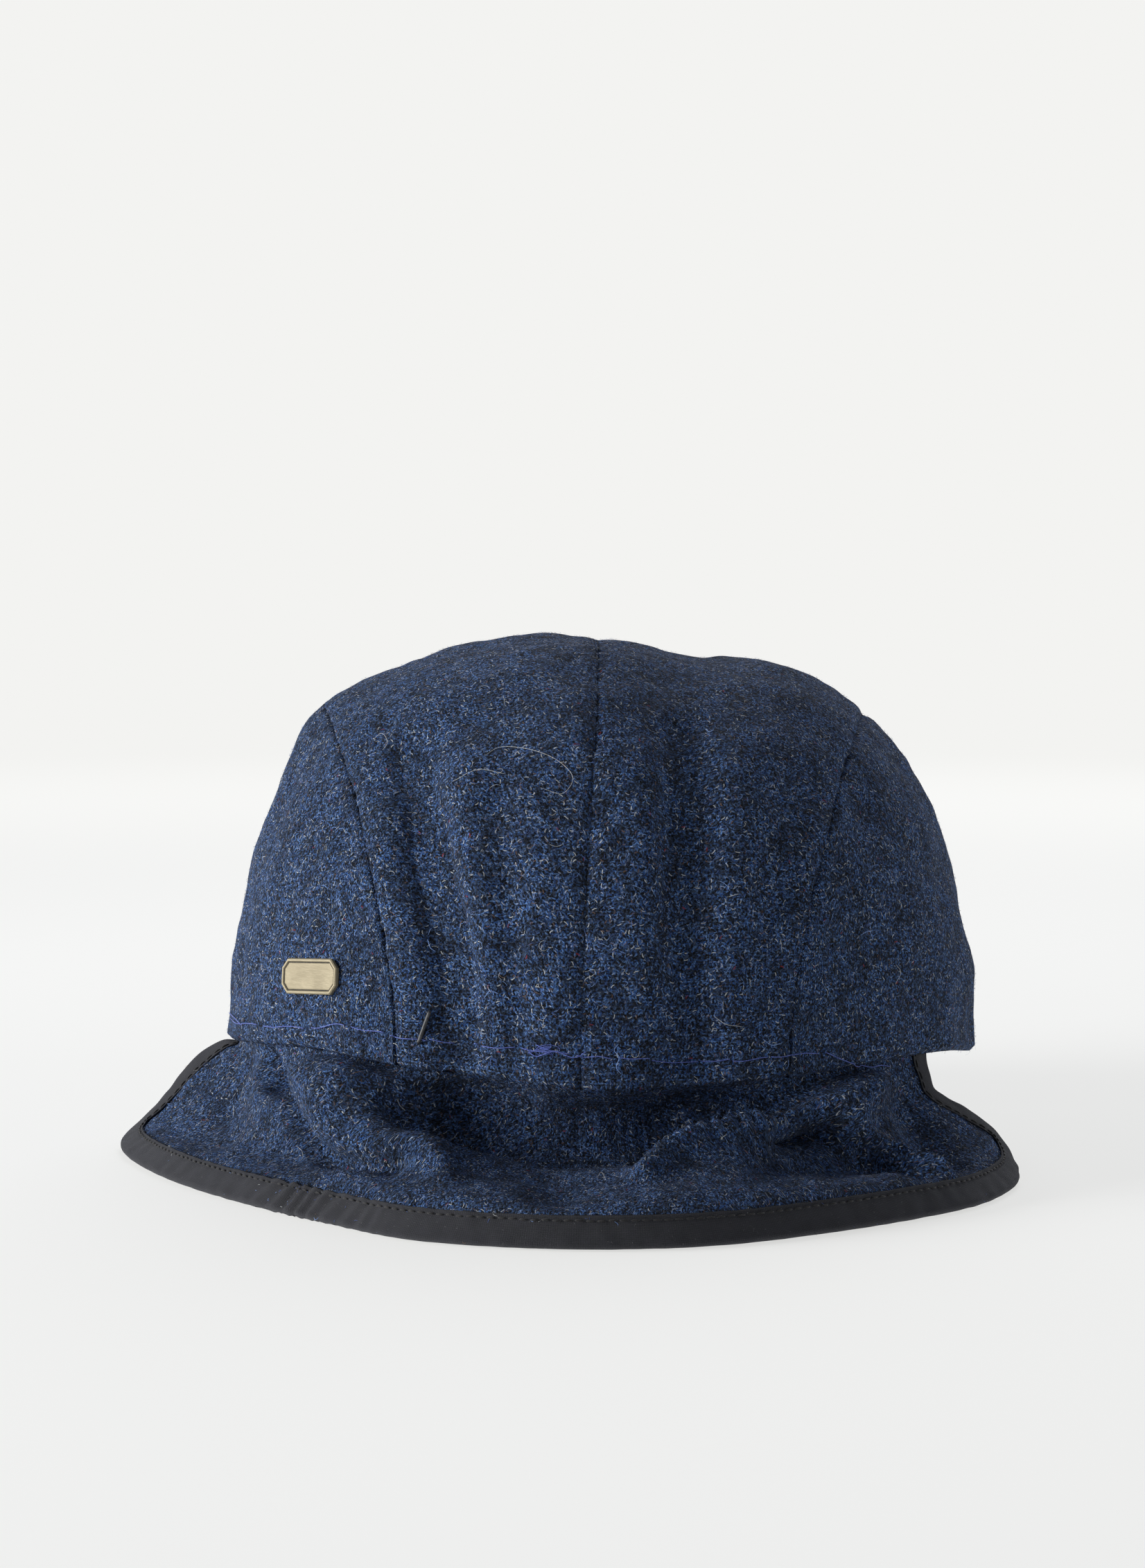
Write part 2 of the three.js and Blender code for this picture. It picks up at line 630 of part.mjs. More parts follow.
const group = new THREE.Group();
group.add(
  crown,
  named("ear_flap", flapBody(), wool(0x25324f)),
  named(
    "flap_binding",
    bindingBody(),
    new THREE.MeshStandardMaterial({ color: 0x14161b, roughness: 0.85, metalness: 0 }),
  ),
  named("peak", peakBody(), wool(0x25324f)),
);

// Stand the cap with the middle of its outline over the origin
group.updateMatrixWorld(true);
const middle = new THREE.Box3().setFromObject(group, true).getCenter(new THREE.Vector3());
group.position.set(-middle.x, -middle.y, 0);

export default group;
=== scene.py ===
import math

import bpy
import numpy as np
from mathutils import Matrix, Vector
from mathutils.bvhtree import BVHTree


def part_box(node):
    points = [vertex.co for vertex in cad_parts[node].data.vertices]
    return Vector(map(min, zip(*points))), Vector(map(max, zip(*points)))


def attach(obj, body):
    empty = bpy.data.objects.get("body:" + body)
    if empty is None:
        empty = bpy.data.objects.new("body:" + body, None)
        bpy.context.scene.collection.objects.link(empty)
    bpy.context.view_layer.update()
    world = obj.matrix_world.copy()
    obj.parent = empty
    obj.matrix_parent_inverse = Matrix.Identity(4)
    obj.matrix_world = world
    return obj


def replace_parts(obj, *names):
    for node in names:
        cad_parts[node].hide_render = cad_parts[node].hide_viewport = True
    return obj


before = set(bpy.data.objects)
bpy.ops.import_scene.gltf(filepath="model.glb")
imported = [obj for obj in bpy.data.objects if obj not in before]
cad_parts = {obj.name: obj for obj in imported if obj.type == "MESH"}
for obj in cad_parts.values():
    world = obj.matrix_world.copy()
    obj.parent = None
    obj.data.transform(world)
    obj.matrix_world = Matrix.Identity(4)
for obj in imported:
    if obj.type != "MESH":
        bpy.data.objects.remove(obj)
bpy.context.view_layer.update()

# The cap in millimetres, +Z up, -Y its back, z = 0 the table. The crown's middle is over the origin
# until everything is moved to the frame.

# Crown
HALF_WIDTH = 96.0
HALF_LENGTH = 98.0
CROWN_HEIGHT = 104.0
FULLNESS = 2.5
HEM_HEIGHT = 27.0
CROWN_TILT = 2.0
CROWN_CLOTH = 2.0
FOLD_DEPTH = 3.0
SEAM_GAP = 0.0

# Ear and neck flap
FLAP_REACH = 44.0
FLAP_CLOTH = 1.4
TUCK_UP = 9.0
TUCK_GAP = 0.8
HEM_DROP = 0.05
EDGE_HEIGHT = 1.4
CORNER_ALONG = 0.075
CORNER_DOWN = 0.16

# Binding
TAPE_WIDTH = 6.2
TAPE_THICK = 0.45
TAPE_OVER = 0.1
STITCH_IN = 1.1
STITCH_PITCH = 2.5
STITCH_LENGTH = 1.9

# Peak
PEAK_LENGTH = 52.0
PEAK_END = 5.5
PEAK_CLOTH = 3.0
PEAK_SPAN = 58.5
PEAK_ARCH = 5.0
PEAK_SEAT = 0.1
PEAK_SWEEP = 0.75

# Badge
BADGE_WIDTH = 21.0
BADGE_HEIGHT = 8.6
BADGE_THICKNESS = 1.2
BADGE_CORNER = 2.2
BADGE_GAP = 0.3
BADGE_AZIMUTH = -46.0
BADGE_RISE = 11.2
BADGE_ROLL = 3.4

# Seams: sideways share at the back hem, the top and the front hem, and how late it turns away
SEAMS = {
    "left": (-0.575, -0.82, -0.55, 1.5),
    "centre": (-0.047, 0.0, 0.0, 4.0),
    "right": (0.512, 0.82, 0.55, 1.5),
}

# Hem: azimuth from the back in degrees, lift as a share of HEM_HEIGHT
HEM_AT = [-180, -110, -90, -65, -45, -20, 0, 20, 45, 62, 90, 110, 180]
HEM_LIFT = [0, 0, 0, 0.1, 0.15, 0.03, -0.08, -0.04, 0.05, 0.04, -0.12, -0.05, 0]

# Folds: sideways share at hem, back and top, first and last turn in degrees, width, depth share
FOLD_PATH = [0, 30, 90, 180]
FOLDS = [
    (-0.34, -0.42, -0.49, 0, 52, 0.075, -0.9),
    (-0.22, -0.27, -0.30, 0, 34, 0.05, -0.35),
    (0.23, 0.195, 0.21, 0, 52, 0.085, -0.85),
    (0.20, 0.20, 0.22, 62, 130, 0.14, -1.7),
]
FOLD_FADE = (25, 20, 10)

# Dents: azimuth, rise, spread each way in degrees, depth share
DENTS = [
    (-92, 22, 34, 17, -0.8),
    (-92, 49, 28, 6, 1.2),
    (92, 20, 12, 3.5, -0.45),
    (88, 12, 14, 5, 0.3),
    (150, 30, 14, 22, -0.6),
    (-146, 34, 15, 24, -0.7),
]

# Flap sections from its left end to its right: azimuth of hem and edge, reach share, then how far
# out and how high the tuck, ridge, slope and rim lie
FLAP_SECTIONS = np.array([
    [-87, -87, 0.61, 0.15, 0.93, 0.36, 0.78, 0.58, 0.47, 0.80, 0.20],
    [-76, -79, 0.575, 0.08, 0.80, 0.30, 0.52, 0.58, 0.27, 0.82, 0.16],
    [-63, -64, 0.53, 0.05, 0.82, 0.22, 0.62, 0.48, 0.30, 0.82, 0.17],
    [-50, -49, 0.54, 0.03, 0.82, 0.17, 0.64, 0.44, 0.30, 0.82, 0.18],
    [-41, -38, 0.61, 0.16, 0.88, 0.30, 0.62, 0.44, 0.28, 0.84, 0.19],
    [-32, -28, 0.73, 0.22, 0.88, 0.42, 0.70, 0.54, 0.32, 0.85, 0.24],
    [-22, -18, 0.92, 0.02, 0.74, 0.32, 0.62, 0.58, 0.38, 0.89, 0.28],
    [-8, -6, 1.00, -0.04, 0.60, 0.20, 0.46, 0.62, 0.38, 0.92, 0.30],
    [4, 4, 1.00, -0.04, 0.60, 0.20, 0.46, 0.62, 0.40, 0.92, 0.30],
    [14, 12, 0.95, -0.02, 0.66, 0.28, 0.58, 0.60, 0.40, 0.91, 0.30],
    [24, 22, 0.83, 0.08, 0.78, 0.28, 0.68, 0.44, 0.34, 0.89, 0.29],
    [33, 33, 0.74, 0.14, 0.86, 0.28, 0.66, 0.40, 0.28, 0.86, 0.27],
    [42, 44, 0.68, 0.10, 0.84, 0.24, 0.56, 0.50, 0.32, 0.84, 0.23],
    [51, 55, 0.55, 0.06, 0.82, 0.14, 0.64, 0.50, 0.38, 0.80, 0.23],
    [58, 66, 0.38, 0.04, 0.82, 0.12, 0.66, 0.44, 0.50, 0.74, 0.31],
])
FLAP_LEVELS = [0, 0.16, 0.27, 0.42, 0.64, 0.87, 1]
PEAK_SECTION = [(0.16, 0.26), (0.56, 0.62)]

# Creases of the flap: places (share along, share down), spread in mm, and height in mm, minus for a valley
FLAP_CREASES = [
    ([(0.140, 0.14), (0.150, 0.22), (0.160, 0.29), (0.180, 0.36)], 2.6, -5.0),
    ([(0.170, 0.30), (0.198, 0.37), (0.258, 0.50), (0.312, 0.60), (0.355, 0.645), (0.40, 0.63)], 2.3, -5.0),
    ([(0.235, 0.24), (0.275, 0.31), (0.318, 0.40), (0.35, 0.48), (0.375, 0.54)], 7.0, 8.0),
    ([(0.355, 0.36), (0.395, 0.38), (0.45, 0.35)], 4.6, -9.0),
    ([(0.43, 0.30), (0.50, 0.29), (0.60, 0.28), (0.72, 0.28)], 7.0, -8.5),
    ([(0.575, 0.60), (0.60, 0.50), (0.641, 0.42), (0.69, 0.385), (0.74, 0.37), (0.782, 0.38), (0.822, 0.335),
      (0.858, 0.25)], 2.7, 7.0),
    ([(0.835, 0.20), (0.80, 0.26)], 4.0, 2.5),
    ([(0.724, 0.455), (0.742, 0.468), (0.766, 0.462)], 2.8, -13.0),
    ([(0.785, 0.44), (0.812, 0.51), (0.835, 0.62), (0.842, 0.78), (0.844, 0.88)], 2.1, 5.4),
    ([(0.80, 0.60), (0.82, 0.72), (0.825, 0.84)], 4.0, -2.6),
    ([(0.905, 0.40), (0.89, 0.55), (0.872, 0.70), (0.868, 0.84)], 4.5, -4.0),
    ([(0.385, 0.50), (0.425, 0.52), (0.436, 0.60), (0.442, 0.72)], 3.2, 3.6),
    ([(0.105, 0.34), (0.115, 0.46), (0.15, 0.56)], 7.0, -5.5),
    ([(0.50, 0.52), (0.515, 0.66), (0.52, 0.78)], 6.0, -2.8),
    ([(0.66, 0.56), (0.65, 0.70)], 7.0, 1.8),
]
PEAK_LEVELS = [0, 0.15, 0.3, 0.65, 1]

# Sharper creases of the crown: places (sideways share, turn in degrees), spread and height in mm
CROWN_CREASES = [
    ([(-0.475, 50), (-0.446, 37), (-0.423, 29), (-0.389, 24), (-0.367, 16), (-0.35, 5)], 4.5, -4.4),
    ([(-0.53, 40), (-0.50, 28), (-0.46, 16)], 5.0, 1.5),
    ([(-0.315, 44), (-0.29, 30), (-0.27, 16), (-0.26, 6)], 4.5, 2.4),
    ([(-0.235, 38), (-0.215, 24), (-0.20, 8)], 3.2, -2.2),
    ([(-0.15, 44), (-0.14, 26), (-0.13, 8)], 5.0, 1.2),
    ([(0.188, 52), (0.201, 35), (0.190, 25), (0.201, 16), (0.222, 6)], 4.5, -4.2),
    ([(0.10, 46), (0.10, 28), (0.11, 10)], 4.5, 1.4),
    ([(0.30, 50), (0.31, 34), (0.32, 20), (0.33, 8)], 5.5, 1.8),
    ([(0.42, 34), (0.41, 22), (0.40, 10)], 4.0, -1.2),
    ([(0.60, 40), (0.62, 24), (0.60, 10)], 5.0, 1.2),
]

# How finely the cloth is divided, in points
TOP_GRID = (80, 280)
SIDE_GRID = (64, 250)
FLAP_GRID = (460, 64)
PEAK_GRID = (140, 48)
TAPE_STEP = 0.7

# Fibres on each cloth
FIBRE_SHARE = {"top_left": 2500, "top_right": 2500, "side_left": 1900, "side_right": 1900,
               "flap": 2800, "peak": 600}

# Places in the photograph, in its pixels
IMAGE = (1652, 2263)
THREAD_PATH = [(334, 1470), (350, 1478), (400, 1480), (452, 1483), (492, 1479), (530, 1486), (584, 1496),
               (639, 1504), (700, 1510), (750, 1513), (800, 1519), (850, 1524), (900, 1527), (940, 1530),
               (1000, 1533), (1060, 1529), (1120, 1524), (1180, 1519)]
TANGLE_AT = (790, 1519)
LOOSE_ENDS = [
    [(1188, 1518), (1215, 1530), (1235, 1536), (1255, 1541), (1268, 1538), (1282, 1540)],
    [(352, 1480), (344, 1472), (338, 1466), (334, 1462)],
    [(760, 1512), (775, 1524), (800, 1516), (826, 1526), (846, 1518)],
]
PIN_ENDS = [(620, 1459), (604, 1506)]
PALE_HAIRS = [
    [(700, 1092), (722, 1080), (760, 1082), (800, 1096), (826, 1122), (812, 1146), (780, 1138)],
    [(655, 1128), (690, 1112), (730, 1118)],
    [(428, 1655), (436, 1662), (438, 1672), (433, 1678)],
    [(862, 1702), (868, 1694), (875, 1706)],
    [(1030, 1466), (1048, 1478), (1070, 1482)],
    [(803, 1405), (806, 1409), (804, 1411)],
    [(1290, 1420), (1298, 1404), (1291, 1392)],
    [(540, 1068), (552, 1060), (560, 1072), (553, 1084)],
]
SKY_HAIRS = [
    [(892, 1506), (886, 1516), (893, 1526), (889, 1540), (896, 1550)],
    [(617, 1350), (622, 1340), (634, 1338), (638, 1346), (630, 1352)],
    [(616, 1356), (620, 1368), (628, 1374)],
    [(1018, 1054), (1024, 1058), (1030, 1055)],
    [(1100, 1500), (1112, 1508), (1126, 1506)],
    [(1240, 1350), (1252, 1344), (1258, 1356)],
    [(700, 1440), (708, 1430), (720, 1434)],
]

LENS = 85.0
CAMERA_AT = (-6.5, -948.0, 166.6)
CAMERA_PITCH = 4.49
SKY_POWER = (0.27, 0.11)
FLOOR_GLOW = 0.71
WINDOW_AT = (-1.85, -0.5, 0.37)
WINDOW_POWER = 66
TOP_LIGHT_AT = (0.3, 1.2, 1.1)
TOP_LIGHT_POWER = 15
FILL_AT = (1.9, -0.9, 0.5)
FILL_POWER = 9

rng = np.random.default_rng(7)


def rad(degrees):
    return np.radians(degrees)


def column(values, k):
    """The values at places k: one list for all, or a row of values for each k."""
    if values.ndim == 1:
        return values[k]
    return np.take_along_axis(values, k[..., None], -1)[..., 0]


def spline(knots, values, at):
    """A smooth curve through the values at the knots."""
    knots = np.asarray(knots, float)
    values = np.asarray(values, float)
    at = np.asarray(at, float)
    last = len(knots) - 1
    k = np.clip(np.searchsorted(knots, at, side="right") - 1, 0, last - 1)
    step = knots[k + 1] - knots[k]

    def slope(i):
        before = np.maximum(i - 1, 0)
        after = np.minimum(i + 1, last)
        return (column(values, after) - column(values, before)) / (knots[after] - knots[before])

    t = (at - knots[k]) / step
    rise = t * t * (3 - 2 * t)
    here = column(values, k)
    there = column(values, k + 1)
    bend = slope(k) * step * t * (1 - t) ** 2 - slope(k + 1) * step * t * t * (1 - t)
    return here + (there - here) * rise + bend


def bell(x):
    return np.exp(-0.5 * x * x)


def ease(start, end, x):
    t = np.clip((x - start) / (end - start), 0, 1)
    return t * t * (3 - 2 * t)


def unit(v):
    return v / np.maximum(np.linalg.norm(v, axis=-1, keepdims=True), 1e-12)


def aim(azimuth, rise):
    """Unit direction from azimuth and rise in degrees."""
    a, r = np.broadcast_arrays(rad(azimuth), rad(rise))
    return np.stack([np.sin(a) * np.cos(r), -np.cos(a) * np.cos(r), np.sin(r)], -1)


def azimuth_of(v):
    return np.degrees(np.arctan2(v[..., 0], -v[..., 1]))


def turn_apart(a, b):
    return (a - b + 180) % 360 - 180


# A repeatable soft noise in three dimensions, for folds and wrinkles
WAVES = [
    (unit(rng.normal(size=3)), rng.uniform(0.6, 1.5), rng.uniform(0, 2 * math.pi))
    for _ in range(24)
]


def ripple(p, size):
    """Soft random relief, about -1 to 1, whose bumps are roughly this size."""
    total = np.zeros(p.shape[:-1])
    for direction, pace, phase in WAVES:
        total += np.sin(p @ direction * (2 * math.pi * pace / size) + phase)
    return total / 5.0


def smooth_radius(d, inset):
    plan = (d[..., 0] / (HALF_WIDTH - inset)) ** 2 + (d[..., 1] / (HALF_LENGTH - inset)) ** 2
    up = np.abs(d[..., 2]) / (CROWN_HEIGHT - inset)
    return (plan ** (FULLNESS / 2) + up**FULLNESS) ** (-1 / FULLNESS)


def hem_lift(azimuth):
    return HEM_HEIGHT * spline(HEM_AT, HEM_LIFT, azimuth)


def relief(d):
    """The crown's folds and dents."""
    sideways = d[..., 0] / np.hypot(d[..., 1], d[..., 2])
    turn = np.degrees(np.arctan2(d[..., 2], -d[..., 1]))
    azimuth = azimuth_of(d)
    rise = np.degrees(np.arcsin(np.clip(d[..., 2], -1, 1)))
    out = np.zeros(d.shape[:-1])
    for hem, back, top, start, stop, width, depth in FOLDS:
        path = spline(FOLD_PATH, [hem, back, top, top], turn)
        begun = ease(start - FOLD_FADE[0], start, turn)
        ended = ease(stop - FOLD_FADE[1], stop + FOLD_FADE[2], turn)
        out += depth * bell((sideways - path) / width) * begun * (1 - ended)
    for at, height, wide, tall, depth in DENTS:
        out += depth * bell(turn_apart(azimuth, at) / wide) * bell((rise - height) / tall)
    return FOLD_DEPTH * out


def crown_point(direction, inset):
    """A point of the crown in its own frame, inset from the outer face."""
    d = unit(direction)
    p = d * (smooth_radius(d, inset) + relief(d))[..., None]
    p[..., 2] += hem_lift(azimuth_of(p)) * (1 - p[..., 2] / CROWN_HEIGHT) ** 2
    return p


def to_cap(p):
    """From the crown's own frame to the cap's."""
    c, s = math.cos(rad(CROWN_TILT)), math.sin(rad(CROWN_TILT))
    x, y, z = p[..., 0], p[..., 1], p[..., 2]
    return np.stack([x, y * c + z * s, z * c - y * s + HEM_HEIGHT], -1)


def strip_direction(sideways, turn):
    sideways, turn = np.broadcast_arrays(sideways, turn)
    return np.stack([sideways, -np.cos(turn), np.sin(turn)], -1)


def seam_at(seam, turn):
    back, top, front, bend = SEAMS[seam]
    end = np.where(np.cos(turn) > 0, back, front)
    return top + (end - top) * np.abs(np.cos(turn)) ** bend


def beside_seam(seam, turn, distance):
    sideways = seam_at(seam, turn)
    radius = smooth_radius(unit(strip_direction(sideways, turn)), 0)
    return sideways + distance * (1 + sideways**2) / radius


def grid_normals(p):
    """Unit normals of a grid of points, to the right-hand side of its rows and columns."""
    along = np.gradient(p, axis=0)
    down = np.gradient(p, axis=1)
    return unit(np.cross(along, down))


def grid_lengths(p, axis):
    """Distance along each line of a grid, from its start."""
    steps = np.linalg.norm(np.diff(p, axis=axis), axis=-1)
    lead = np.zeros_like(np.take(steps, [0], axis))
    return np.concatenate([lead, np.cumsum(steps, axis)], axis)


def crease(grid, line, spread, height):
    """Relief along a line over a grid of points: highest on the line, softer towards its ends."""
    line = spaced(line, 24)
    near = np.full(grid.shape[:-1], np.inf)
    share = np.zeros(grid.shape[:-1])
    for k, spot in enumerate(line):
        away = np.linalg.norm(grid - spot, axis=-1)
        share = np.where(away < near, k / (len(line) - 1), share)
        near = np.minimum(near, away)
    taper = 0.35 + 0.65 * np.sin(math.pi * np.clip(0.08 + 0.84 * share, 0, 1)) ** 0.6
    return height * taper * bell(near / spread)


def spaced(line, count):
    """The same line with its points evenly spaced."""
    line = np.asarray(line, float)
    length = np.concatenate([[0], np.cumsum(np.linalg.norm(np.diff(line, axis=0), axis=1))])
    at = np.linspace(0, length[-1], count)
    return np.stack([np.interp(at, length, line[:, axis]) for axis in range(line.shape[1])], -1)


def make(name, points, faces, uv=None):
    """A mesh object in the frame's place, from points in millimetres and quads."""
    mesh = bpy.data.meshes.new(name)
    mesh.from_pydata(((points + SHIFT) / 1000).tolist(), [], [tuple(f) for f in faces])
    if uv is not None:
        layer = mesh.uv_layers.new(name="cloth")
        corner = np.empty(len(mesh.loops), np.int32)
        mesh.loops.foreach_get("vertex_index", corner)
        layer.data.foreach_set("uv", uv[corner].astype(np.float32).ravel())
    mesh.shade_smooth()
    mesh.update()
    obj = bpy.data.objects.new(name, mesh)
    bpy.context.scene.collection.objects.link(obj)
    return obj


def shell(name, outer, inner, uv):
    """A closed cloth between two grids of the same size."""
    rows, columns = outer.shape[:2]
    count = rows * columns
    at = np.arange(count).reshape(rows, columns)
    a, b, c, d = at[:-1, :-1], at[1:, :-1], at[1:, 1:], at[:-1, 1:]
    top = np.stack([a, b, c, d], -1).reshape(-1, 4)
    faces = [top, top[:, ::-1] + count]
    rim = np.concatenate([at[:-1, 0], at[-1, :-1], at[:0:-1, -1], at[0, :0:-1]])
    after = np.roll(rim, -1)
    faces.append(np.stack([after, rim, rim + count, after + count], -1))
    points = np.concatenate([outer.reshape(-1, 3), inner.reshape(-1, 3)])
    flat = uv.reshape(-1, 2)
    faces = np.concatenate(faces)
    a, b, c = (points[faces[:, i]] for i in range(3))
    if (a * np.cross(b, c)).sum() < 0:
        faces = faces[:, ::-1]
    return make(name, points, faces, np.concatenate([flat, flat]))


def spread_flat(middle, outer):
    """Texture places of a cloth round the crown, spread out flat like a ring."""
    plan = middle[..., :2]
    hem = np.linalg.norm(plan[:, :1], axis=-1)
    return unit(plan) * (hem + grid_lengths(outer, 1))[..., None]


def cut(grid):
    """Work out the flat width and length that a cloth's smooth surface has; the sizes are not used."""
    width, length = (grid_lengths(grid, axis).max() / 1000 for axis in (0, 1))


def rounded(distance, radius):
    """How far a cloth's face drops as it rounds over to an edge."""
    left = np.clip(radius - distance, 0, radius)
    return radius - np.sqrt(np.maximum(radius**2 - left**2, 0))


# The scene's own badge outline, also used to find where the frame has the cap
def plate_frame():
    def near(turn, rise):
        return crown_point(aim(BADGE_AZIMUTH + turn, BADGE_RISE + rise), 0)

    side = near(1, 0) - near(-1, 0)
    up = near(0, 1) - near(0, -1)
    normal = unit(np.cross(side, up))
    side = unit(side)
    roll = rad(BADGE_ROLL)
    side = side * math.cos(roll) + np.cross(normal, side) * math.sin(roll)
    up = np.cross(normal, side)
    return near(0, 0) + normal * BADGE_GAP, np.stack([side, up, normal])


def plate_outline(inset):
    w, h = BADGE_WIDTH / 2 - inset, BADGE_HEIGHT / 2 - inset
    c = BADGE_CORNER - inset * (2 - math.sqrt(2))
    return np.array([(w, c - h), (w, h - c), (w - c, h), (c - w, h),
                     (-w, h - c), (-w, c - h), (c - w, -h), (w - c, -h)])


def plate_point(x, y, height):
    at, axes = plate_frame()
    return to_cap(at + np.stack([x, y, height], -1) @ axes)


SHIFT = np.zeros(3)
corners = plate_outline(0)
ends = np.concatenate([
    plate_point(corners[:, 0], corners[:, 1], np.full(len(corners), z)) for z in (0, BADGE_THICKNESS)
])
low, high = (np.array(v) * 1000 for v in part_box("badge"))
SHIFT = (low + high) / 2 - (ends.min(0) + ends.max(0)) / 2


# Shader building
def shader(name, base, roughness, **sockets):
    material = bpy.data.materials.new(name)
    material.use_nodes = True
    nodes = material.node_tree.nodes
    nodes.clear()
    out = nodes.new("ShaderNodeOutputMaterial")
    bsdf = nodes.new("ShaderNodeBsdfPrincipled")
    material.node_tree.links.new(bsdf.outputs[0], out.inputs[0])
    bsdf.inputs["Base Color"].default_value = (*base, 1)
    bsdf.inputs["Roughness"].default_value = roughness
    for key, value in sockets.items():
        bsdf.inputs[key.replace("_", " ")].default_value = value
    return material, bsdf


class Net:
    """Short ways to add nodes to a material."""

    def __init__(self, material):
        self.tree = material.node_tree

    def node(self, kind, inputs=(), **settings):
        n = self.tree.nodes.new("ShaderNode" + kind)
        for key, value in settings.items():
            setattr(n, key, value)
        for key, value in dict(inputs).items():
            self.plug(value, n.inputs[key])
        return n

    def plug(self, value, socket):
        if isinstance(value, bpy.types.NodeSocket):
            self.tree.links.new(value, socket)
        else:
            socket.default_value = value

    def math(self, operation, a, b=0.0, clamp=False):
        return self.node("Math", {0: a, 1: b}, operation=operation, use_clamp=clamp).outputs[0]

    def ramp(self, value, start, end, low=0.0, high=1.0):
        n = self.node("MapRange", {"Value": value, "From Min": start, "From Max": end,
                                   "To Min": low, "To Max": high}, interpolation_type="SMOOTHSTEP")
        return n.outputs["Result"]

    def mix(self, share, a, b):
        n = self.node("Mix", {"Factor": share, "A": a, "B": b}, data_type="RGBA")
        return n.outputs["Result"]

    def noise(self, vector, scale, detail=2.0, rough=0.5, distort=0.0, kind="3D"):
        return self.node("TexNoise", {"Vector": vector, "Scale": scale, "Detail": detail,
                                      "Roughness": rough, "Distortion": distort},
                         noise_dimensions=kind)


def colour(r, g, b):
    """A colour as it looks on the screen, 0 to 255, for a shader."""
    def linear(v):
        v /= 255
        return v / 12.92 if v <= 0.04045 else ((v + 0.055) / 1.055) ** 2.4
    return (linear(r), linear(g), linear(b), 1.0)


def strokes(net, place, size, length, thick, seed):
    """Short fibres lying every way on the cloth: one in each cell of this size, in millimetres.
    Gives how strongly a fibre shows and the cell's random colour."""
    moved = net.node("VectorMath", {0: place, 1: (seed * 13.7, seed * 7.9, 0)}, operation="ADD")
    cell = net.node("TexVoronoi", {"Vector": moved.outputs[0], "Scale": 1 / size, "Randomness": 1.0},
                    voronoi_dimensions="2D", feature="F1")
    away = net.node("VectorMath", {0: moved.outputs[0], 1: cell.outputs["Position"]},
                    operation="SUBTRACT")
    parts = net.node("SeparateColor", {"Color": cell.outputs["Color"]})
    angle = net.math("MULTIPLY", parts.outputs["Red"], 2 * math.pi)
    turned = net.node("VectorRotate", {"Vector": away.outputs[0], "Angle": angle},
                      rotation_type="Z_AXIS")
    axes = net.node("SeparateXYZ", {0: turned.outputs[0]})
    bend = net.math("MULTIPLY", net.math("POWER", net.math("ABSOLUTE", axes.outputs[0]), 2.0), 0.5 / length)
    off = net.math("ABSOLUTE", net.math("SUBTRACT", axes.outputs[1], bend))
    thin = net.ramp(off, thick * 0.5, thick * 1.1, 1.0, 0.0)
    short = net.ramp(net.math("ABSOLUTE", axes.outputs[0]), length * 0.35, length * 0.5, 1.0, 0.0)
    return net.math("MULTIPLY", thin, short), parts.outputs["Green"], parts.outputs["Blue"]


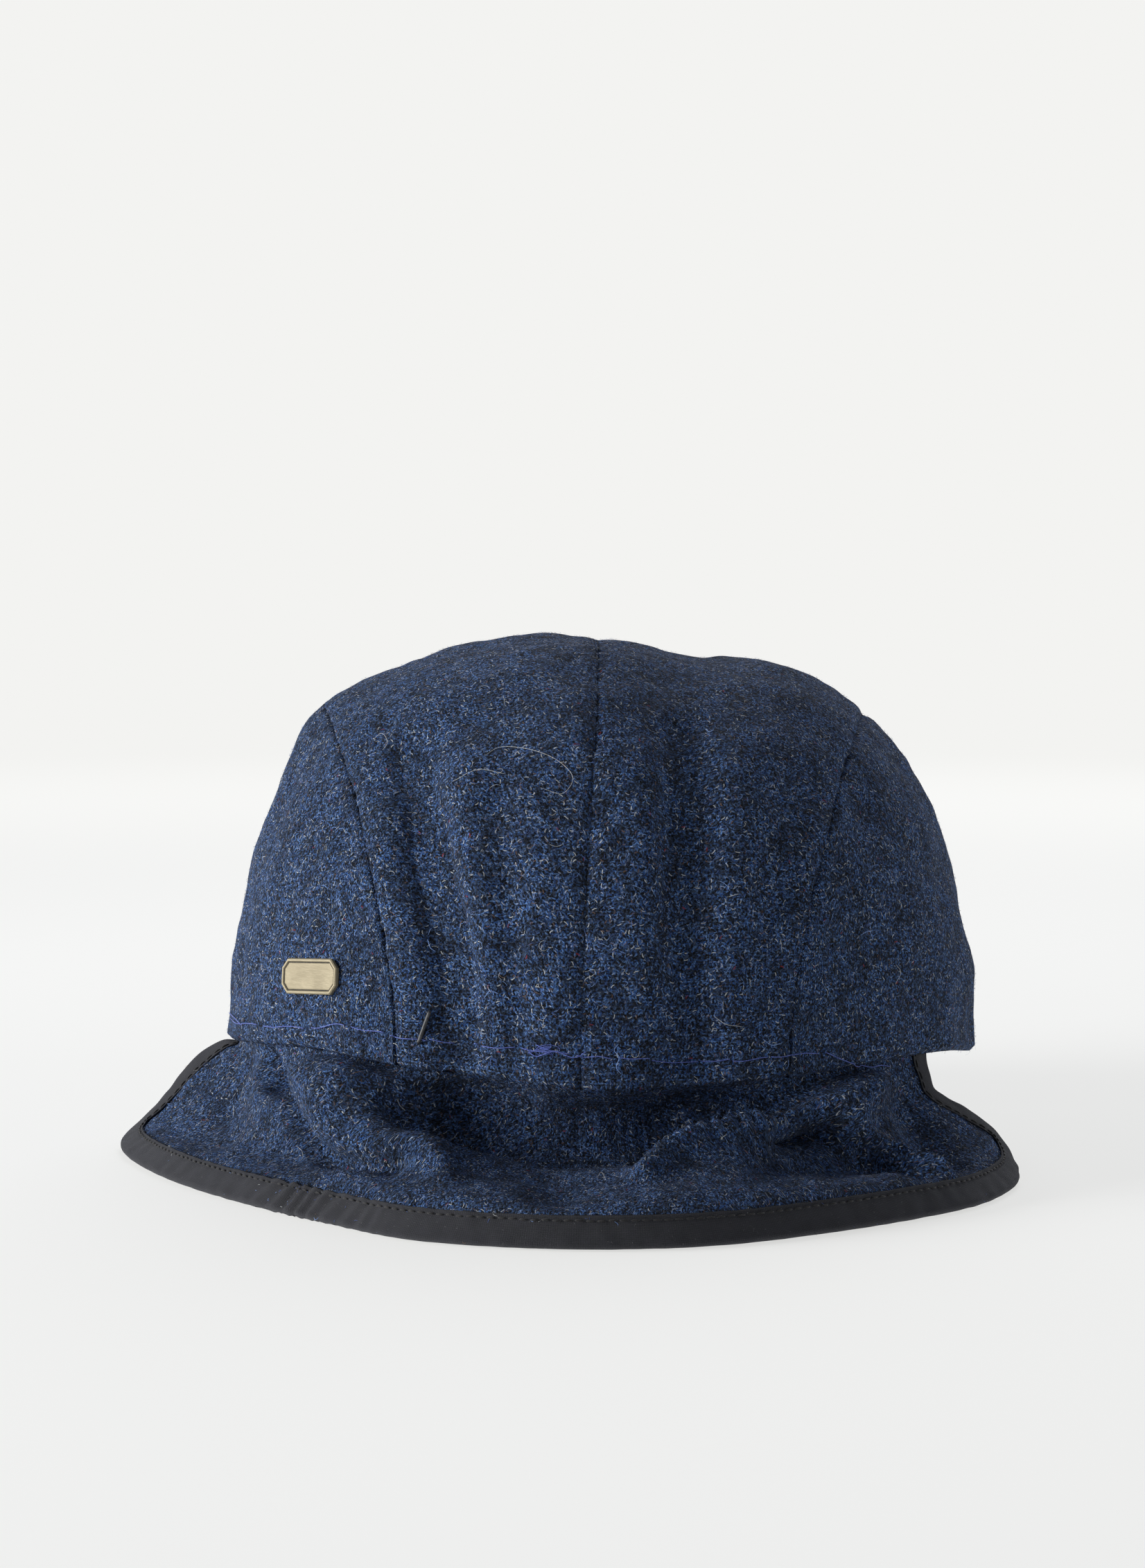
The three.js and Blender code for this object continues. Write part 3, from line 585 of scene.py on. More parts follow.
def wool_material():
    """Milled heather wool: a dark ground with short fibres of many blues, some brown and pale ones."""
    material, bsdf = shader("heather_wool", (0.03, 0.04, 0.07), 0.92,
                            Sheen_Weight=0.12, Sheen_Roughness=0.45, Specular_IOR_Level=0.1)
    bsdf.inputs["Sheen Tint"].default_value = colour(170, 182, 205)
    net = Net(material)
    place = net.node("TexCoord").outputs["Object"]
    flat = net.node("UVMap", uv_map="cloth").outputs[0]
    patch = net.noise(place, 170, 3, 0.65, 0.4).outputs["Fac"]
    fleck = net.noise(place, 900, 4, 0.75, 1.2).outputs["Fac"]
    grain = net.noise(place, 1900, 2, 0.6, 0.5).outputs["Fac"]
    ground = net.mix(net.ramp(fleck, 0.44, 0.57), colour(4, 5, 8), colour(64, 78, 102))
    ground = net.mix(net.ramp(grain, 0.53, 0.63, 0.0, 0.95), ground, colour(90, 122, 172))
    brown = net.noise(place, 700, 2, 0.5, 0.3).outputs["Fac"]
    ground = net.mix(net.ramp(brown, 0.56, 0.68, 0.0, 0.6), ground, colour(36, 32, 36))
    blue_here = net.ramp(patch, 0.36, 0.62, 0.3, 1.0)
    ground = net.mix(net.ramp(patch, 0.34, 0.58, 0.5, 0.0), ground, colour(10, 12, 16))
    layers = [
        (0.62, 0.8, 0.2, (50, 94, 166), 0.55, 0.95),
        (0.70, 0.9, 0.3, (4, 5, 8), 0.66, 0.97),
        (0.86, 0.8, 0.16, (112, 154, 218), 0.46, 0.95),
        (1.05, 0.7, 0.14, (176, 188, 214), 0.26, 0.95),
        (1.7, 1.2, 0.13, (214, 218, 220), 0.26, 0.9),
        (2.3, 1.0, 0.16, (126, 100, 84), 0.3, 0.7),
        (7.0, 1.1, 0.18, (160, 56, 58), 0.2, 0.7),
    ]
    raised = None
    for seed, (size, length, thick, tone, share, strength) in enumerate(layers):
        shown, green, blue = strokes(net, flat, size, length, thick, seed + 1)
        chosen = net.ramp(green, 1 - share, 1 - share + 0.02)
        level = net.math("MULTIPLY_ADD", blue, 0.5)
        level.node.inputs[2].default_value = 0.5
        amount = net.math("MULTIPLY", net.math("MULTIPLY", shown, chosen), level)
        if seed in (0, 2, 3):
            amount = net.math("MULTIPLY", amount, blue_here)
        ground = net.mix(net.math("MULTIPLY", amount, strength), ground, colour(*tone))
        raised = amount if raised is None else net.math("MAXIMUM", raised, amount)
    net.plug(ground, bsdf.inputs["Base Color"])
    height = net.math("MULTIPLY_ADD", fleck, 1.0)
    net.plug(net.math("MULTIPLY", raised, 0.45), height.node.inputs[2])
    bump = net.node("Bump", {"Strength": 1.0, "Distance": 0.0012, "Height": height})
    net.plug(bump.outputs[0], bsdf.inputs["Normal"])
    rough = net.ramp(grain, 0.3, 0.7, 0.82, 0.98)
    net.plug(rough, bsdf.inputs["Roughness"])
    return material


def tape_material():
    """Plain-woven black cotton tape, faded a little on its folds."""
    material, bsdf = shader("black_tape", (0.03, 0.03, 0.035), 0.85,
                            Sheen_Weight=0.25, Sheen_Roughness=0.5, Specular_IOR_Level=0.25)
    bsdf.inputs["Sheen Tint"].default_value = colour(150, 152, 160)
    net = Net(material)
    flat = net.node("UVMap", uv_map="cloth").outputs[0]
    slant = net.node("VectorRotate", {"Vector": flat, "Angle": math.pi / 4}, rotation_type="Z_AXIS")
    axes = net.node("SeparateXYZ", {0: slant.outputs[0]})
    pace = 2 * math.pi / 0.36
    warp = net.math("SINE", net.math("MULTIPLY", axes.outputs[0], pace))
    weft = net.math("SINE", net.math("MULTIPLY", axes.outputs[1], pace))
    weave = net.math("MULTIPLY", warp, weft)
    place = net.node("TexCoord").outputs["Object"]
    worn = net.noise(place, 260, 4, 0.65).outputs["Fac"]
    dust = net.noise(place, 1800, 2, 0.6).outputs["Fac"]
    tone = net.mix(net.ramp(weave, -0.7, 0.8), colour(14, 15, 18), colour(54, 55, 60))
    tone = net.mix(net.ramp(worn, 0.35, 0.75, 0.0, 0.5), tone, colour(52, 52, 58))
    tone = net.mix(net.ramp(dust, 0.66, 0.78, 0.0, 0.5), tone, colour(110, 110, 114))
    net.plug(tone, bsdf.inputs["Base Color"])
    height = net.math("MULTIPLY_ADD", weave, 0.5)
    net.plug(worn, height.node.inputs[2])
    bump = net.node("Bump", {"Strength": 0.5, "Distance": 0.0003, "Height": height})
    net.plug(bump.outputs[0], bsdf.inputs["Normal"])
    net.plug(net.ramp(worn, 0.3, 0.7, 0.78, 0.92), bsdf.inputs["Roughness"])
    return material


def thread_material(name, dark, light, pace=2600):
    material, bsdf = shader(name, (0.1, 0.1, 0.1), 0.7, Sheen_Weight=0.2, Specular_IOR_Level=0.3)
    net = Net(material)
    place = net.node("TexCoord").outputs["Object"]
    twist = net.noise(place, pace, 2, 0.6, 1.5).outputs["Fac"]
    net.plug(net.mix(net.ramp(twist, 0.35, 0.65), colour(*dark), colour(*light)), bsdf.inputs["Base Color"])
    bump = net.node("Bump", {"Strength": 0.5, "Distance": 0.0002, "Height": twist})
    net.plug(bump.outputs[0], bsdf.inputs["Normal"])
    return material


def brass_material():
    """Aged satin brass: brushed, browner in the low places."""
    material, bsdf = shader("aged_brass", (0.5, 0.44, 0.3), 0.6, Metallic=0.45)
    net = Net(material)
    place = net.node("TexCoord").outputs["Object"]
    brushed = net.node("Mapping", {"Vector": place, "Scale": (1, 1, 14)})
    lines = net.noise(brushed.outputs[0], 420, 3, 0.6).outputs["Fac"]
    stain = net.noise(place, 160, 3, 0.5).outputs["Fac"]
    tone = net.mix(net.ramp(stain, 0.3, 0.8), colour(140, 131, 108), colour(126, 117, 95))
    tone = net.mix(net.ramp(lines, 0.5, 0.75, 0.0, 0.3), tone, colour(152, 143, 120))
    net.plug(tone, bsdf.inputs["Base Color"])
    net.plug(net.ramp(lines, 0.3, 0.7, 0.5, 0.68), bsdf.inputs["Roughness"])
    bump = net.node("Bump", {"Strength": 0.25, "Distance": 0.0001, "Height": lines})
    net.plug(bump.outputs[0], bsdf.inputs["Normal"])
    return material


def finish(obj, material):
    obj.data.materials.clear()
    obj.data.materials.append(material)
    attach(obj, "root")
    return obj


WOOL = wool_material()
TAPE = tape_material()
BLACK_THREAD = thread_material("black_thread", (5, 5, 7), (20, 20, 24))
BLUE_THREAD = thread_material("blue_thread", (46, 62, 140), (104, 124, 200))
BRASS = brass_material()
DARK_LINE = thread_material("dark_line", (30, 27, 22), (60, 54, 44), 900)


def metal_material():
    material, bsdf = shader("dark_metal", colour(50, 51, 54)[:3], 0.5, Metallic=0.3)
    net = Net(material)
    place = net.node("TexCoord").outputs["Object"]
    scuff = net.noise(place, 900, 3, 0.6).outputs["Fac"]
    net.plug(net.mix(net.ramp(scuff, 0.4, 0.65), colour(38, 39, 42), colour(74, 75, 78)),
             bsdf.inputs["Base Color"])
    net.plug(net.ramp(scuff, 0.3, 0.7, 0.35, 0.6), bsdf.inputs["Roughness"])
    return material


DARK_METAL = metal_material()
FIBRE_KINDS = [
    ("fibres_pale", 0.10, 2.0, 0.085, 0.55, 2.2, thread_material("pale_fibre", (150, 156, 160), (206, 208, 206))),
    ("fibres_sky", 0.30, 1.7, 0.085, 0.45, 2.4, thread_material("sky_fibre", (88, 122, 184), (140, 170, 222))),
    ("fibres_blue", 0.85, 1.6, 0.09, 0.4, 2.2, thread_material("blue_fibre", (42, 60, 106), (72, 98, 160))),
    ("fibres_dark", 0.55, 1.6, 0.1, 0.35, 2.0, thread_material("dark_fibre", (8, 9, 13), (26, 30, 42))),
    ("fibres_brown", 0.06, 1.8, 0.085, 0.45, 2.4, thread_material("brown_fibre", (92, 72, 60), (140, 112, 92))),
]


# Crown
def cloth_panel(name, face, seams_at):
    """One panel of the crown: rounded at its seams and hem, with a ridge beside each seam."""
    base = face(0)
    across = grid_lengths(base, 0)
    along = grid_lengths(base, 1)
    drop = np.zeros(base.shape[:2])
    for start, seam in seams_at:
        away = across if start else across[-1:] - across
        if seam:
            uneven = 0.6 + 0.35 * ripple(base, 4.0)
            drop += uneven * np.exp(-away / 0.9) + 0.1 * bell(away / 1.6)
            drop -= (0.12 + 0.1 * ripple(base, 7.0)) * bell((away - 3.6) / 1.3)
        else:
            drop += rounded(away, 1.4)
    for start in (True, False):
        if name.startswith("top"):
            drop += rounded(along if start else along[:, -1:] - along, 1.4)
    fine = 0.17 * ripple(base, 8.0) + 0.42 * ripple(base, 25.0)
    for places, spread, height in CROWN_CREASES:
        places = np.array(places)
        line = crown_point(strip_direction(places[:, 0], rad(places[:, 1])), 0)
        fine += crease(base, line, spread, height)
    normals = grid_normals(base)
    if (normals * base).sum() < 0:
        normals = -normals
    outer = base + normals * (fine - drop)[..., None]
    inner = face(CROWN_CLOTH)
    uv = np.stack([across, np.broadcast_to(along.mean(0), along.shape)], -1)
    obj = shell(name, to_cap(outer), to_cap(inner), uv)
    cut(base)
    return finish(obj, WOOL), outer


def top_face(seam_a, seam_b):
    share, turn = np.meshgrid(np.linspace(0, 1, TOP_GRID[0]), np.linspace(0, math.pi, TOP_GRID[1]),
                              indexing="ij")

    def face(inset):
        start = beside_seam(seam_a, turn, SEAM_GAP / 2)
        end = beside_seam(seam_b, turn, -SEAM_GAP / 2)
        return crown_point(strip_direction(start + (end - start) * share, turn), inset)

    return face


def side_face(seam):
    outward = math.copysign(1, SEAMS[seam][1])
    share, turn = np.meshgrid(np.linspace(0, 1, SIDE_GRID[0]), np.linspace(0, math.pi, SIDE_GRID[1]),
                              indexing="ij")

    def face(inset):
        top = unit(strip_direction(beside_seam(seam, turn, outward * SEAM_GAP / 2), turn))
        rise = np.degrees(np.arcsin(top[..., 2]))
        return crown_point(aim(azimuth_of(top), share * rise), inset)

    return face


panels = {
    "top_left": (top_face("left", "centre"), [(True, True), (False, True)], "crown_top_left"),
    "top_right": (top_face("centre", "right"), [(True, True), (False, True)], "crown_top_right"),
    "side_left": (side_face("left"), [(True, False), (False, True)], "crown_side_left"),
    "side_right": (side_face("right"), [(True, False), (False, True)], "crown_side_right"),
}
cloths = {}
for name, (face, seams_at, node) in panels.items():
    obj, outer = cloth_panel(name, face, seams_at)
    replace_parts(obj, node)
    cloths[name] = obj


# Flap
def inside_crown(azimuth, height, cloth):
    rise = np.degrees(np.arctan2(height, HALF_LENGTH))
    return to_cap(crown_point(aim(azimuth, rise), CROWN_CLOTH + TUCK_GAP + cloth / 2))


def beyond_hem(azimuth, reach, height):
    d = aim(azimuth, 0)
    p = d * (smooth_radius(d, 0) + reach)[..., None]
    p[..., 2] = height
    return p


def flap_surface(along, down):
    along, down = np.broadcast_arrays(np.asarray(along, float), np.asarray(down, float))
    stations = np.linspace(0, 1, len(FLAP_SECTIONS))
    row = [spline(stations, FLAP_SECTIONS[:, k], along) for k in range(FLAP_SECTIONS.shape[1])]
    hem = inside_crown(row[0], 0, FLAP_CLOTH)
    edge = beyond_hem(row[1], row[2] * FLAP_REACH, EDGE_HEIGHT)
    nodes = [inside_crown(row[0], TUCK_UP, FLAP_CLOTH), hem - [0, 0, HEM_DROP * HEM_HEIGHT]]
    for k in range(3, 11, 2):
        p = hem + (edge - hem) * row[k][..., None]
        p[..., 2] = hem[..., 2] * row[k + 1]
        nodes.append(p)
    nodes.append(edge)
    nodes = np.stack(nodes, -1)
    return np.stack([spline(FLAP_LEVELS, nodes[..., axis, :], down) for axis in range(3)], -1)


def flap_slopes(along, down):
    step = 1e-3
    left, right = np.maximum(along - step, 0), np.minimum(along + step, 1)
    above, below = np.maximum(down - step, 0), np.minimum(down + step, 1)
    run = (flap_surface(right, down) - flap_surface(left, down)) / (right - left)[..., None]
    fall = (flap_surface(along, below) - flap_surface(along, above)) / (below - above)[..., None]
    return run, fall


def flap_normal(along, down):
    run, fall = flap_slopes(along, down)
    return unit(np.cross(fall, run))


def corner_length(along):
    """How much of the flap's width is left near its two round corners."""
    near = np.minimum(along, 1 - along)
    share = np.clip(1 - near / CORNER_ALONG, 0, 1)
    return 1 - CORNER_DOWN * (1 - np.sqrt(np.maximum(1 - share**2, 0)))


def even_stations(count):
    """Places along the flap, closer together in its corners."""
    t = np.linspace(0, 1, count)
    turn = CORNER_ALONG * 0.5 * (1 - np.cos(math.pi * np.clip(t / (CORNER_ALONG * 2), 0, 1)))
    near = np.where(t < CORNER_ALONG * 2, turn * 2, t)
    near = np.minimum(near, 0.5)
    return np.where(t <= 0.5, near, 1 - near[::-1])


def cloth_flap():
    rows = np.linspace(0, 1, FLAP_GRID[1])
    along, share = np.meshgrid(even_stations(FLAP_GRID[0]), rows, indexing="ij")
    down = share * corner_length(along)
    middle = flap_surface(along, down)
    normals = flap_normal(along, down)
    fine = 0.14 * ripple(middle, 8.0) + 0.3 * ripple(middle, 21.0)
    for places, spread, height in FLAP_CREASES:
        places = np.array(places)
        fine += crease(middle, flap_surface(places[:, 0], places[:, 1]), spread, height)
    from_edge = grid_lengths(middle, 1)
    from_edge = from_edge[:, -1:] - from_edge
    ends = grid_lengths(middle, 0)
    from_end = np.minimum(ends, ends[-1:] - ends)
    free = ease(TAPE_WIDTH - 1, TAPE_WIDTH + 5, np.minimum(from_edge, from_end + 1.5))
    fine *= free * np.where(fine > 0, ease(0.17, 0.32, down), ease(0.10, 0.19, down))
    outer = middle + normals * (FLAP_CLOTH / 2 + fine)[..., None]
    inner = middle - normals * (FLAP_CLOTH / 2 - fine * 0.9)[..., None]
    outer[..., 2] = np.maximum(outer[..., 2], 0.9)
    inner[..., 2] = np.maximum(inner[..., 2], 0.3)
    uv = spread_flat(middle, outer)
    obj = shell("flap", outer, inner, uv)
    cut(middle)
    return finish(obj, WOOL)


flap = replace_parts(cloth_flap(), "ear_flap")
cloths["flap"] = flap


# Binding
def walk_in(along, down, direction, distance, steps=4):
    """Walk over the flap from edge points in a direction, a given distance."""
    for _ in range(steps):
        run, fall = flap_slopes(along, down)
        aa, ad, dd = (run * run).sum(-1), (run * fall).sum(-1), (fall * fall).sum(-1)
        ra, rd = (run * direction).sum(-1), (fall * direction).sum(-1)
        det = aa * dd - ad * ad
        u, v = (dd * ra - ad * rd) / det, (aa * rd - ad * ra) / det
        pace = distance / steps / np.linalg.norm(run * u[..., None] + fall * v[..., None], axis=-1)
        along = along + u * pace
        down = down + v * pace
    return along, down


def edge_path():
    """The flap's free edge: down one end, along, and up the other end, in even steps."""
    first = 0.09
    ends = np.linspace(first, corner_length(np.zeros(1))[0], 60)[:-1]
    bottom = even_stations(900)
    along = np.concatenate([np.zeros(len(ends)), bottom, np.ones(len(ends))])
    down = np.concatenate([ends, corner_length(bottom), ends[::-1]])
    p = flap_surface(along, down)
    length = np.concatenate([[0], np.cumsum(np.linalg.norm(np.diff(p, axis=0), axis=1))])
    count = int(length[-1] / TAPE_STEP)
    at = np.linspace(0, length[-1], count)
    return np.interp(at, length, along), np.interp(at, length, down), at


def cloth_tape():
    along, down, at = edge_path()
    middle = flap_surface(along, down)
    run = unit(np.gradient(middle, axis=0))
    normal = flap_normal(along, down)
    inward = unit(np.cross(normal, run))
    ply = FLAP_CLOTH / 2 + TAPE_OVER
    top = ply + TAPE_THICK
    legs = np.array([6.2, 5.9, 5.5, 5.1, 4.7, 4.0, 3.0, 2.0, 1.0, 0.0])
    turn = np.linspace(0, math.pi, 9)[1:-1]
    profile = [(x, top) for x in legs]
    profile += [(-top * 0.8 * math.sin(t), top * math.cos(t)) for t in turn]
    profile += [(x, -top) for x in legs[::-1]]
    profile += [(x, -ply) for x in legs[1:-1]]
    profile += [(-0.3, -ply * 0.5), (-0.3, ply * 0.5)]
    profile += [(x, ply) for x in legs[::-1][1:-1]]
    profile = np.array(profile)
    rings, uv = [], []
    side = np.cumsum(np.linalg.norm(np.diff(profile, axis=0, prepend=profile[:1]), axis=1))
    for k, (inset, height) in enumerate(profile):
        a, d = walk_in(along, down, inward, np.full(len(along), max(inset, 0.0)))
        p = flap_surface(a, d)
        outside = abs(height) > ply + 1e-6 or inset < 0
        puff = np.zeros(len(along))
        if outside:
            puff = 0.1 * ripple(np.stack([at, np.full(len(at), side[k]), 0 * at], -1), 6.0)
            pucker = bell((at - PUCKER_AT) / 9) + 0.5 * bell((at - PUCKER_AT - 20) / 8)
            fold = np.sin(at * 2 * math.pi / 5.2 + 1.6 * np.sin(at / 4.1) + side[k] * 0.5)
            puff += 0.6 * pucker * fold * np.abs(fold)
            inner_edge = TAPE_WIDTH - STITCH_IN
            sewn = bell((inset - inner_edge) / 0.4) if inset > 0 else 0.0
            puff -= 0.2 * sewn
        p = p + flap_normal(a, d) * (height + puff * math.copysign(1, height))[..., None]
        p = p + inward * min(inset, 0.0)
        p[..., 2] = np.maximum(p[..., 2], 0.02)
        rings.append(p)
        uv.append(np.stack([at, np.full(len(at), side[k])], -1))
    rings, uv = np.stack(rings, 1), np.stack(uv, 1)
    count, around = rings.shape[:2]
    index = np.arange(count * around).reshape(count, around)
    a, b = index[:-1], index[1:]
    faces = np.stack([a, np.roll(a, -1, 1), np.roll(b, -1, 1), b], -1).reshape(-1, 4)
    first, last = index[0], index[-1]
    points = rings.reshape(-1, 3)
    faces = [tuple(f) for f in faces] + [tuple(first[::-1]), tuple(last)]
    middle_of = points.mean(0)
    a0, b0, c0 = (points[[f[i] for f in faces[:-2]]] - middle_of for i in range(3))
    if (a0 * np.cross(b0, c0)).sum() < 0:
        faces = [f[::-1] for f in faces]
    obj = make("binding", points, faces, uv.reshape(-1, 2))
    return finish(obj, TAPE), (along, down, at, inward)


PUCKER_AT = 150.0
tape, tape_line = cloth_tape()
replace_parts(tape, "flap_binding")
cloths["binding"] = tape


# Peak
def peak_surface(along, down):
    along, down = np.broadcast_arrays(np.asarray(along, float), np.asarray(down, float))
    side = 2 * along - 1
    swell = np.maximum(1 - side**2, 0)
    azimuth = 180 - side * PEAK_SPAN
    hem_at = np.where(azimuth > 180, azimuth - 360, azimuth)
    hem = inside_crown(hem_at, 0, PEAK_CLOTH)
    reach = PEAK_END + (PEAK_LENGTH - PEAK_END) * swell**PEAK_SWEEP
    edge = beyond_hem(azimuth, reach, 0.0)
    edge[..., 2] = PEAK_SEAT + PEAK_ARCH * swell
    nodes = [inside_crown(hem_at, TUCK_UP, PEAK_CLOTH), hem - [0, 0, HEM_DROP * HEM_HEIGHT]]
    for out, fall in PEAK_SECTION:
        p = hem + (edge - hem) * out
        p[..., 2] = hem[..., 2] + (edge[..., 2] - hem[..., 2]) * fall
        nodes.append(p)
    nodes.append(edge)
    nodes = np.stack(nodes, -1)
    return np.stack([spline(PEAK_LEVELS, nodes[..., axis, :], down) for axis in range(3)], -1)


def cloth_peak():
    spread = 0.5 * (1 - np.cos(np.linspace(0, math.pi, PEAK_GRID[0])))
    along, down = np.meshgrid(0.5 * spread + 0.5 * np.linspace(0, 1, PEAK_GRID[0]),
                              np.linspace(0, 1, PEAK_GRID[1]) ** 0.8, indexing="ij")
    middle = peak_surface(along, down)
    normals = grid_normals(middle)
    if normals[..., 2].mean() < 0:
        normals = -normals
    from_edge = grid_lengths(middle, 1)
    from_edge = from_edge[:, -1:] - from_edge
    half = PEAK_CLOTH / 2 - rounded(from_edge, PEAK_CLOTH / 2 - 0.05)
    half = half - 0.25 * bell((from_edge - 4.5) / 0.8) + 0.12 * ripple(middle, 12.0) * ease(0, 6, from_edge)
    outer = middle + normals * half[..., None]
    inner = middle - normals * half[..., None]
    for p in (outer, inner):
        p[..., 2] = np.maximum(p[..., 2], 0)
    uv = spread_flat(middle, outer)
    obj = shell("peak_cloth", outer, inner, uv)
    cut(middle)
    return finish(obj, WOOL)


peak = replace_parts(cloth_peak(), "peak")
cloths["peak"] = peak


# Badge
def badge():
    """A brass plate with cut corners, a raised rim, a dark line inside it and a bare field."""
    steps = [(0.25, 0.0), (0.0, 0.25), (0.0, 0.95), (0.25, BADGE_THICKNESS), (0.7, BADGE_THICKNESS),
             (0.86, 0.95), (1.0, 0.85), (1.14, 0.95), (1.3, 1.0), (1.6, 1.02)]
    rings = []
    for inset, height in steps:
        outline = plate_outline(inset)
        rings.append(plate_point(outline[:, 0], outline[:, 1], np.full(len(outline), height)))
    rings = np.stack(rings)
    count = rings.shape[1]
    faces = []
    for r in range(len(steps) - 1):
        for i in range(count):
            j = (i + 1) % count
            faces.append((r * count + i, r * count + j, (r + 1) * count + j, (r + 1) * count + i))
    faces.append(tuple(range(count))[::-1])
    faces.append(tuple((len(steps) - 1) * count + i for i in range(count)))
    obj = make("badge_plate", rings.reshape(-1, 3), faces)
    obj.data.shade_flat()
    finish(obj, BRASS)
    obj.data.materials.append(DARK_LINE)
    for face in obj.data.polygons:
        if 5 * count <= face.index < 7 * count:
            face.material_index = 1
    return obj


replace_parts(badge(), "badge")


# What lies on the cloth is placed by where the photograph shows it, on the cloth that is there
def tree_of(*names):
    points, faces = [], []
    for name in names:
        mesh = cloths[name].data
        first = len(points)
        points += [v.co[:] for v in mesh.vertices]
        faces += [tuple(first + i for i in f.vertices) for f in mesh.polygons]
    return BVHTree.FromPolygons(points, faces)


CLOTH_TREE = tree_of("top_left", "top_right", "side_left", "side_right", "flap")
CAMERA_M = Vector([(c + s) / 1000 for c, s in zip(CAMERA_AT, (SHIFT[0], SHIFT[1], 0))])


def seen_at(x, y, off=0.0):
    """The point of the cloth that the photograph has at this pixel, lifted off it, in millimetres."""
    pitch = math.radians(CAMERA_PITCH)
    focal = LENS / 36 * IMAGE[1]
    across, up = (x - IMAGE[0] / 2) / focal, (IMAGE[1] / 2 - y) / focal
    ray = Vector((across, math.cos(pitch) + up * math.sin(pitch), up * math.cos(pitch) - math.sin(pitch)))
    spot, normal, _, _ = CLOTH_TREE.ray_cast(CAMERA_M, ray.normalized())
    spot = np.array(spot) * 1000 - SHIFT
    normal = np.array(normal)
    return spot + normal * off, normal


def tube(line, radius, sides=6, taper=0.0):
    """Points and quads of a closed round tube along a line; taper thins its ends."""
    line = np.asarray(line, float)
    run = unit(np.gradient(line, axis=0))
    side = unit(np.cross(run, [0.13, 0.31, 0.94]))
    up = np.cross(run, side)
    turn = np.linspace(0, 2 * math.pi, sides, endpoint=False)
    share = np.linspace(0, 1, len(line))
    size = radius * (1 - taper * np.abs(2 * share - 1) ** 4)
    ring = np.cos(turn)[None, :, None] * side[:, None] + np.sin(turn)[None, :, None] * up[:, None]
    points = (line[:, None] + ring * size[:, None, None]).reshape(-1, 3)
    index = np.arange(len(points)).reshape(len(line), sides)
    a, b = index[:-1], index[1:]
    faces = np.stack([a, np.roll(a, -1, 1), np.roll(b, -1, 1), b], -1).reshape(-1, 4).tolist()
    faces += [index[0][::-1].tolist(), index[-1].tolist()]
    return points, faces


def joined(name, parts, material):
    """One object from many small closed meshes."""
    points, faces, first = [], [], 0
    for p, f in parts:
        points.append(p)
        faces += [[first + i for i in face] for face in f]
        first += len(p)
    return finish(make(name, np.concatenate(points), faces), material)


def smooth_line(places, count):
    """A smooth line through places, in even steps."""
    places = np.asarray(places, float)
    knots = np.arange(len(places))
    at = np.linspace(0, len(places) - 1, count * 4)
    dense = np.stack([spline(knots, places[:, axis], at) for axis in range(places.shape[1])], -1)
    return spaced(dense, count)


def on_cloth(pixels, count, off):
    """A line on the cloth that follows these pixels."""
    return np.array([seen_at(x, y, off)[0] for x, y in smooth_line(pixels, count)])


def stitches():
    """The topstitch near the binding's inner edge."""
    along, down, at, inward = tape_line
    parts = []
    level = FLAP_CLOTH / 2 + TAPE_OVER + TAPE_THICK
    for start in np.arange(2.0, at[-1] - 3.0, STITCH_PITCH):
        place = np.linspace(start, start + STITCH_LENGTH, 6)
        a, d = np.interp(place, at, along), np.interp(place, at, down)
        step = unit(np.stack([np.interp(place, at, inward[:, k]) for k in range(3)], -1))
        a, d = walk_in(a, d, step, np.full(6, TAPE_WIDTH - STITCH_IN + rng.normal(0, 0.05)))
        arch = 0.16 * np.sin(np.linspace(0, math.pi, 6)) - 0.1
        line = flap_surface(a, d) + flap_normal(a, d) * (level + arch)[:, None]
        parts.append(tube(line, 0.24, 6, 0.6))
    return joined("binding_stitches", parts, BLACK_THREAD)


def basting():
    """The blue basting thread along the hem, in long stitches, with a tangle and loose ends."""
    path = smooth_line(THREAD_PATH, 520)
    parts = []
    k = 0
    while k < len(path) - 12:
        step = int(rng.integers(24, 44))
        piece = path[k:k + step].copy()
        share = np.linspace(0, 1, len(piece))
        piece[:, 1] += rng.normal(0, 1.2) + 1.3 * np.sin(share * math.pi * rng.uniform(1, 2.4))
        lift = 0.3 + 0.16 * np.sin(share * math.pi) + 0.05 * rng.random()
        line = [seen_at(x, y, high)[0] for (x, y), high in zip(piece, lift)]
        ends = [seen_at(*piece[0], -0.3)[0], seen_at(*piece[-1], -0.3)[0]]
        parts.append(tube(spaced([ends[0], *line, ends[1]], len(piece)), 0.105, 6))
        k += step + int(rng.integers(2, 7))
    for _ in range(5):
        middle = np.array(TANGLE_AT) + rng.normal(0, (14, 4))
        turn = np.linspace(0, 2 * math.pi * rng.uniform(0.7, 1.6), 26)
        size = rng.uniform(5, 12)
        loop = middle + np.stack([size * 1.5 * np.cos(turn + rng.uniform(0, 6)),
                                  size * 0.42 * np.sin(turn * rng.uniform(0.8, 1.4))], -1)
        lift = 0.2 + 0.4 * rng.random(1) * np.sin(np.linspace(0, math.pi, 26))
        parts.append(tube([seen_at(x, y, high)[0] for (x, y), high in zip(loop, lift)], 0.07, 6))
    for pixels in LOOSE_ENDS:
        parts.append(tube(on_cloth(pixels, 40, 0.6), 0.12, 6, 0.3))
    return joined("basting_thread", parts, BLUE_THREAD)


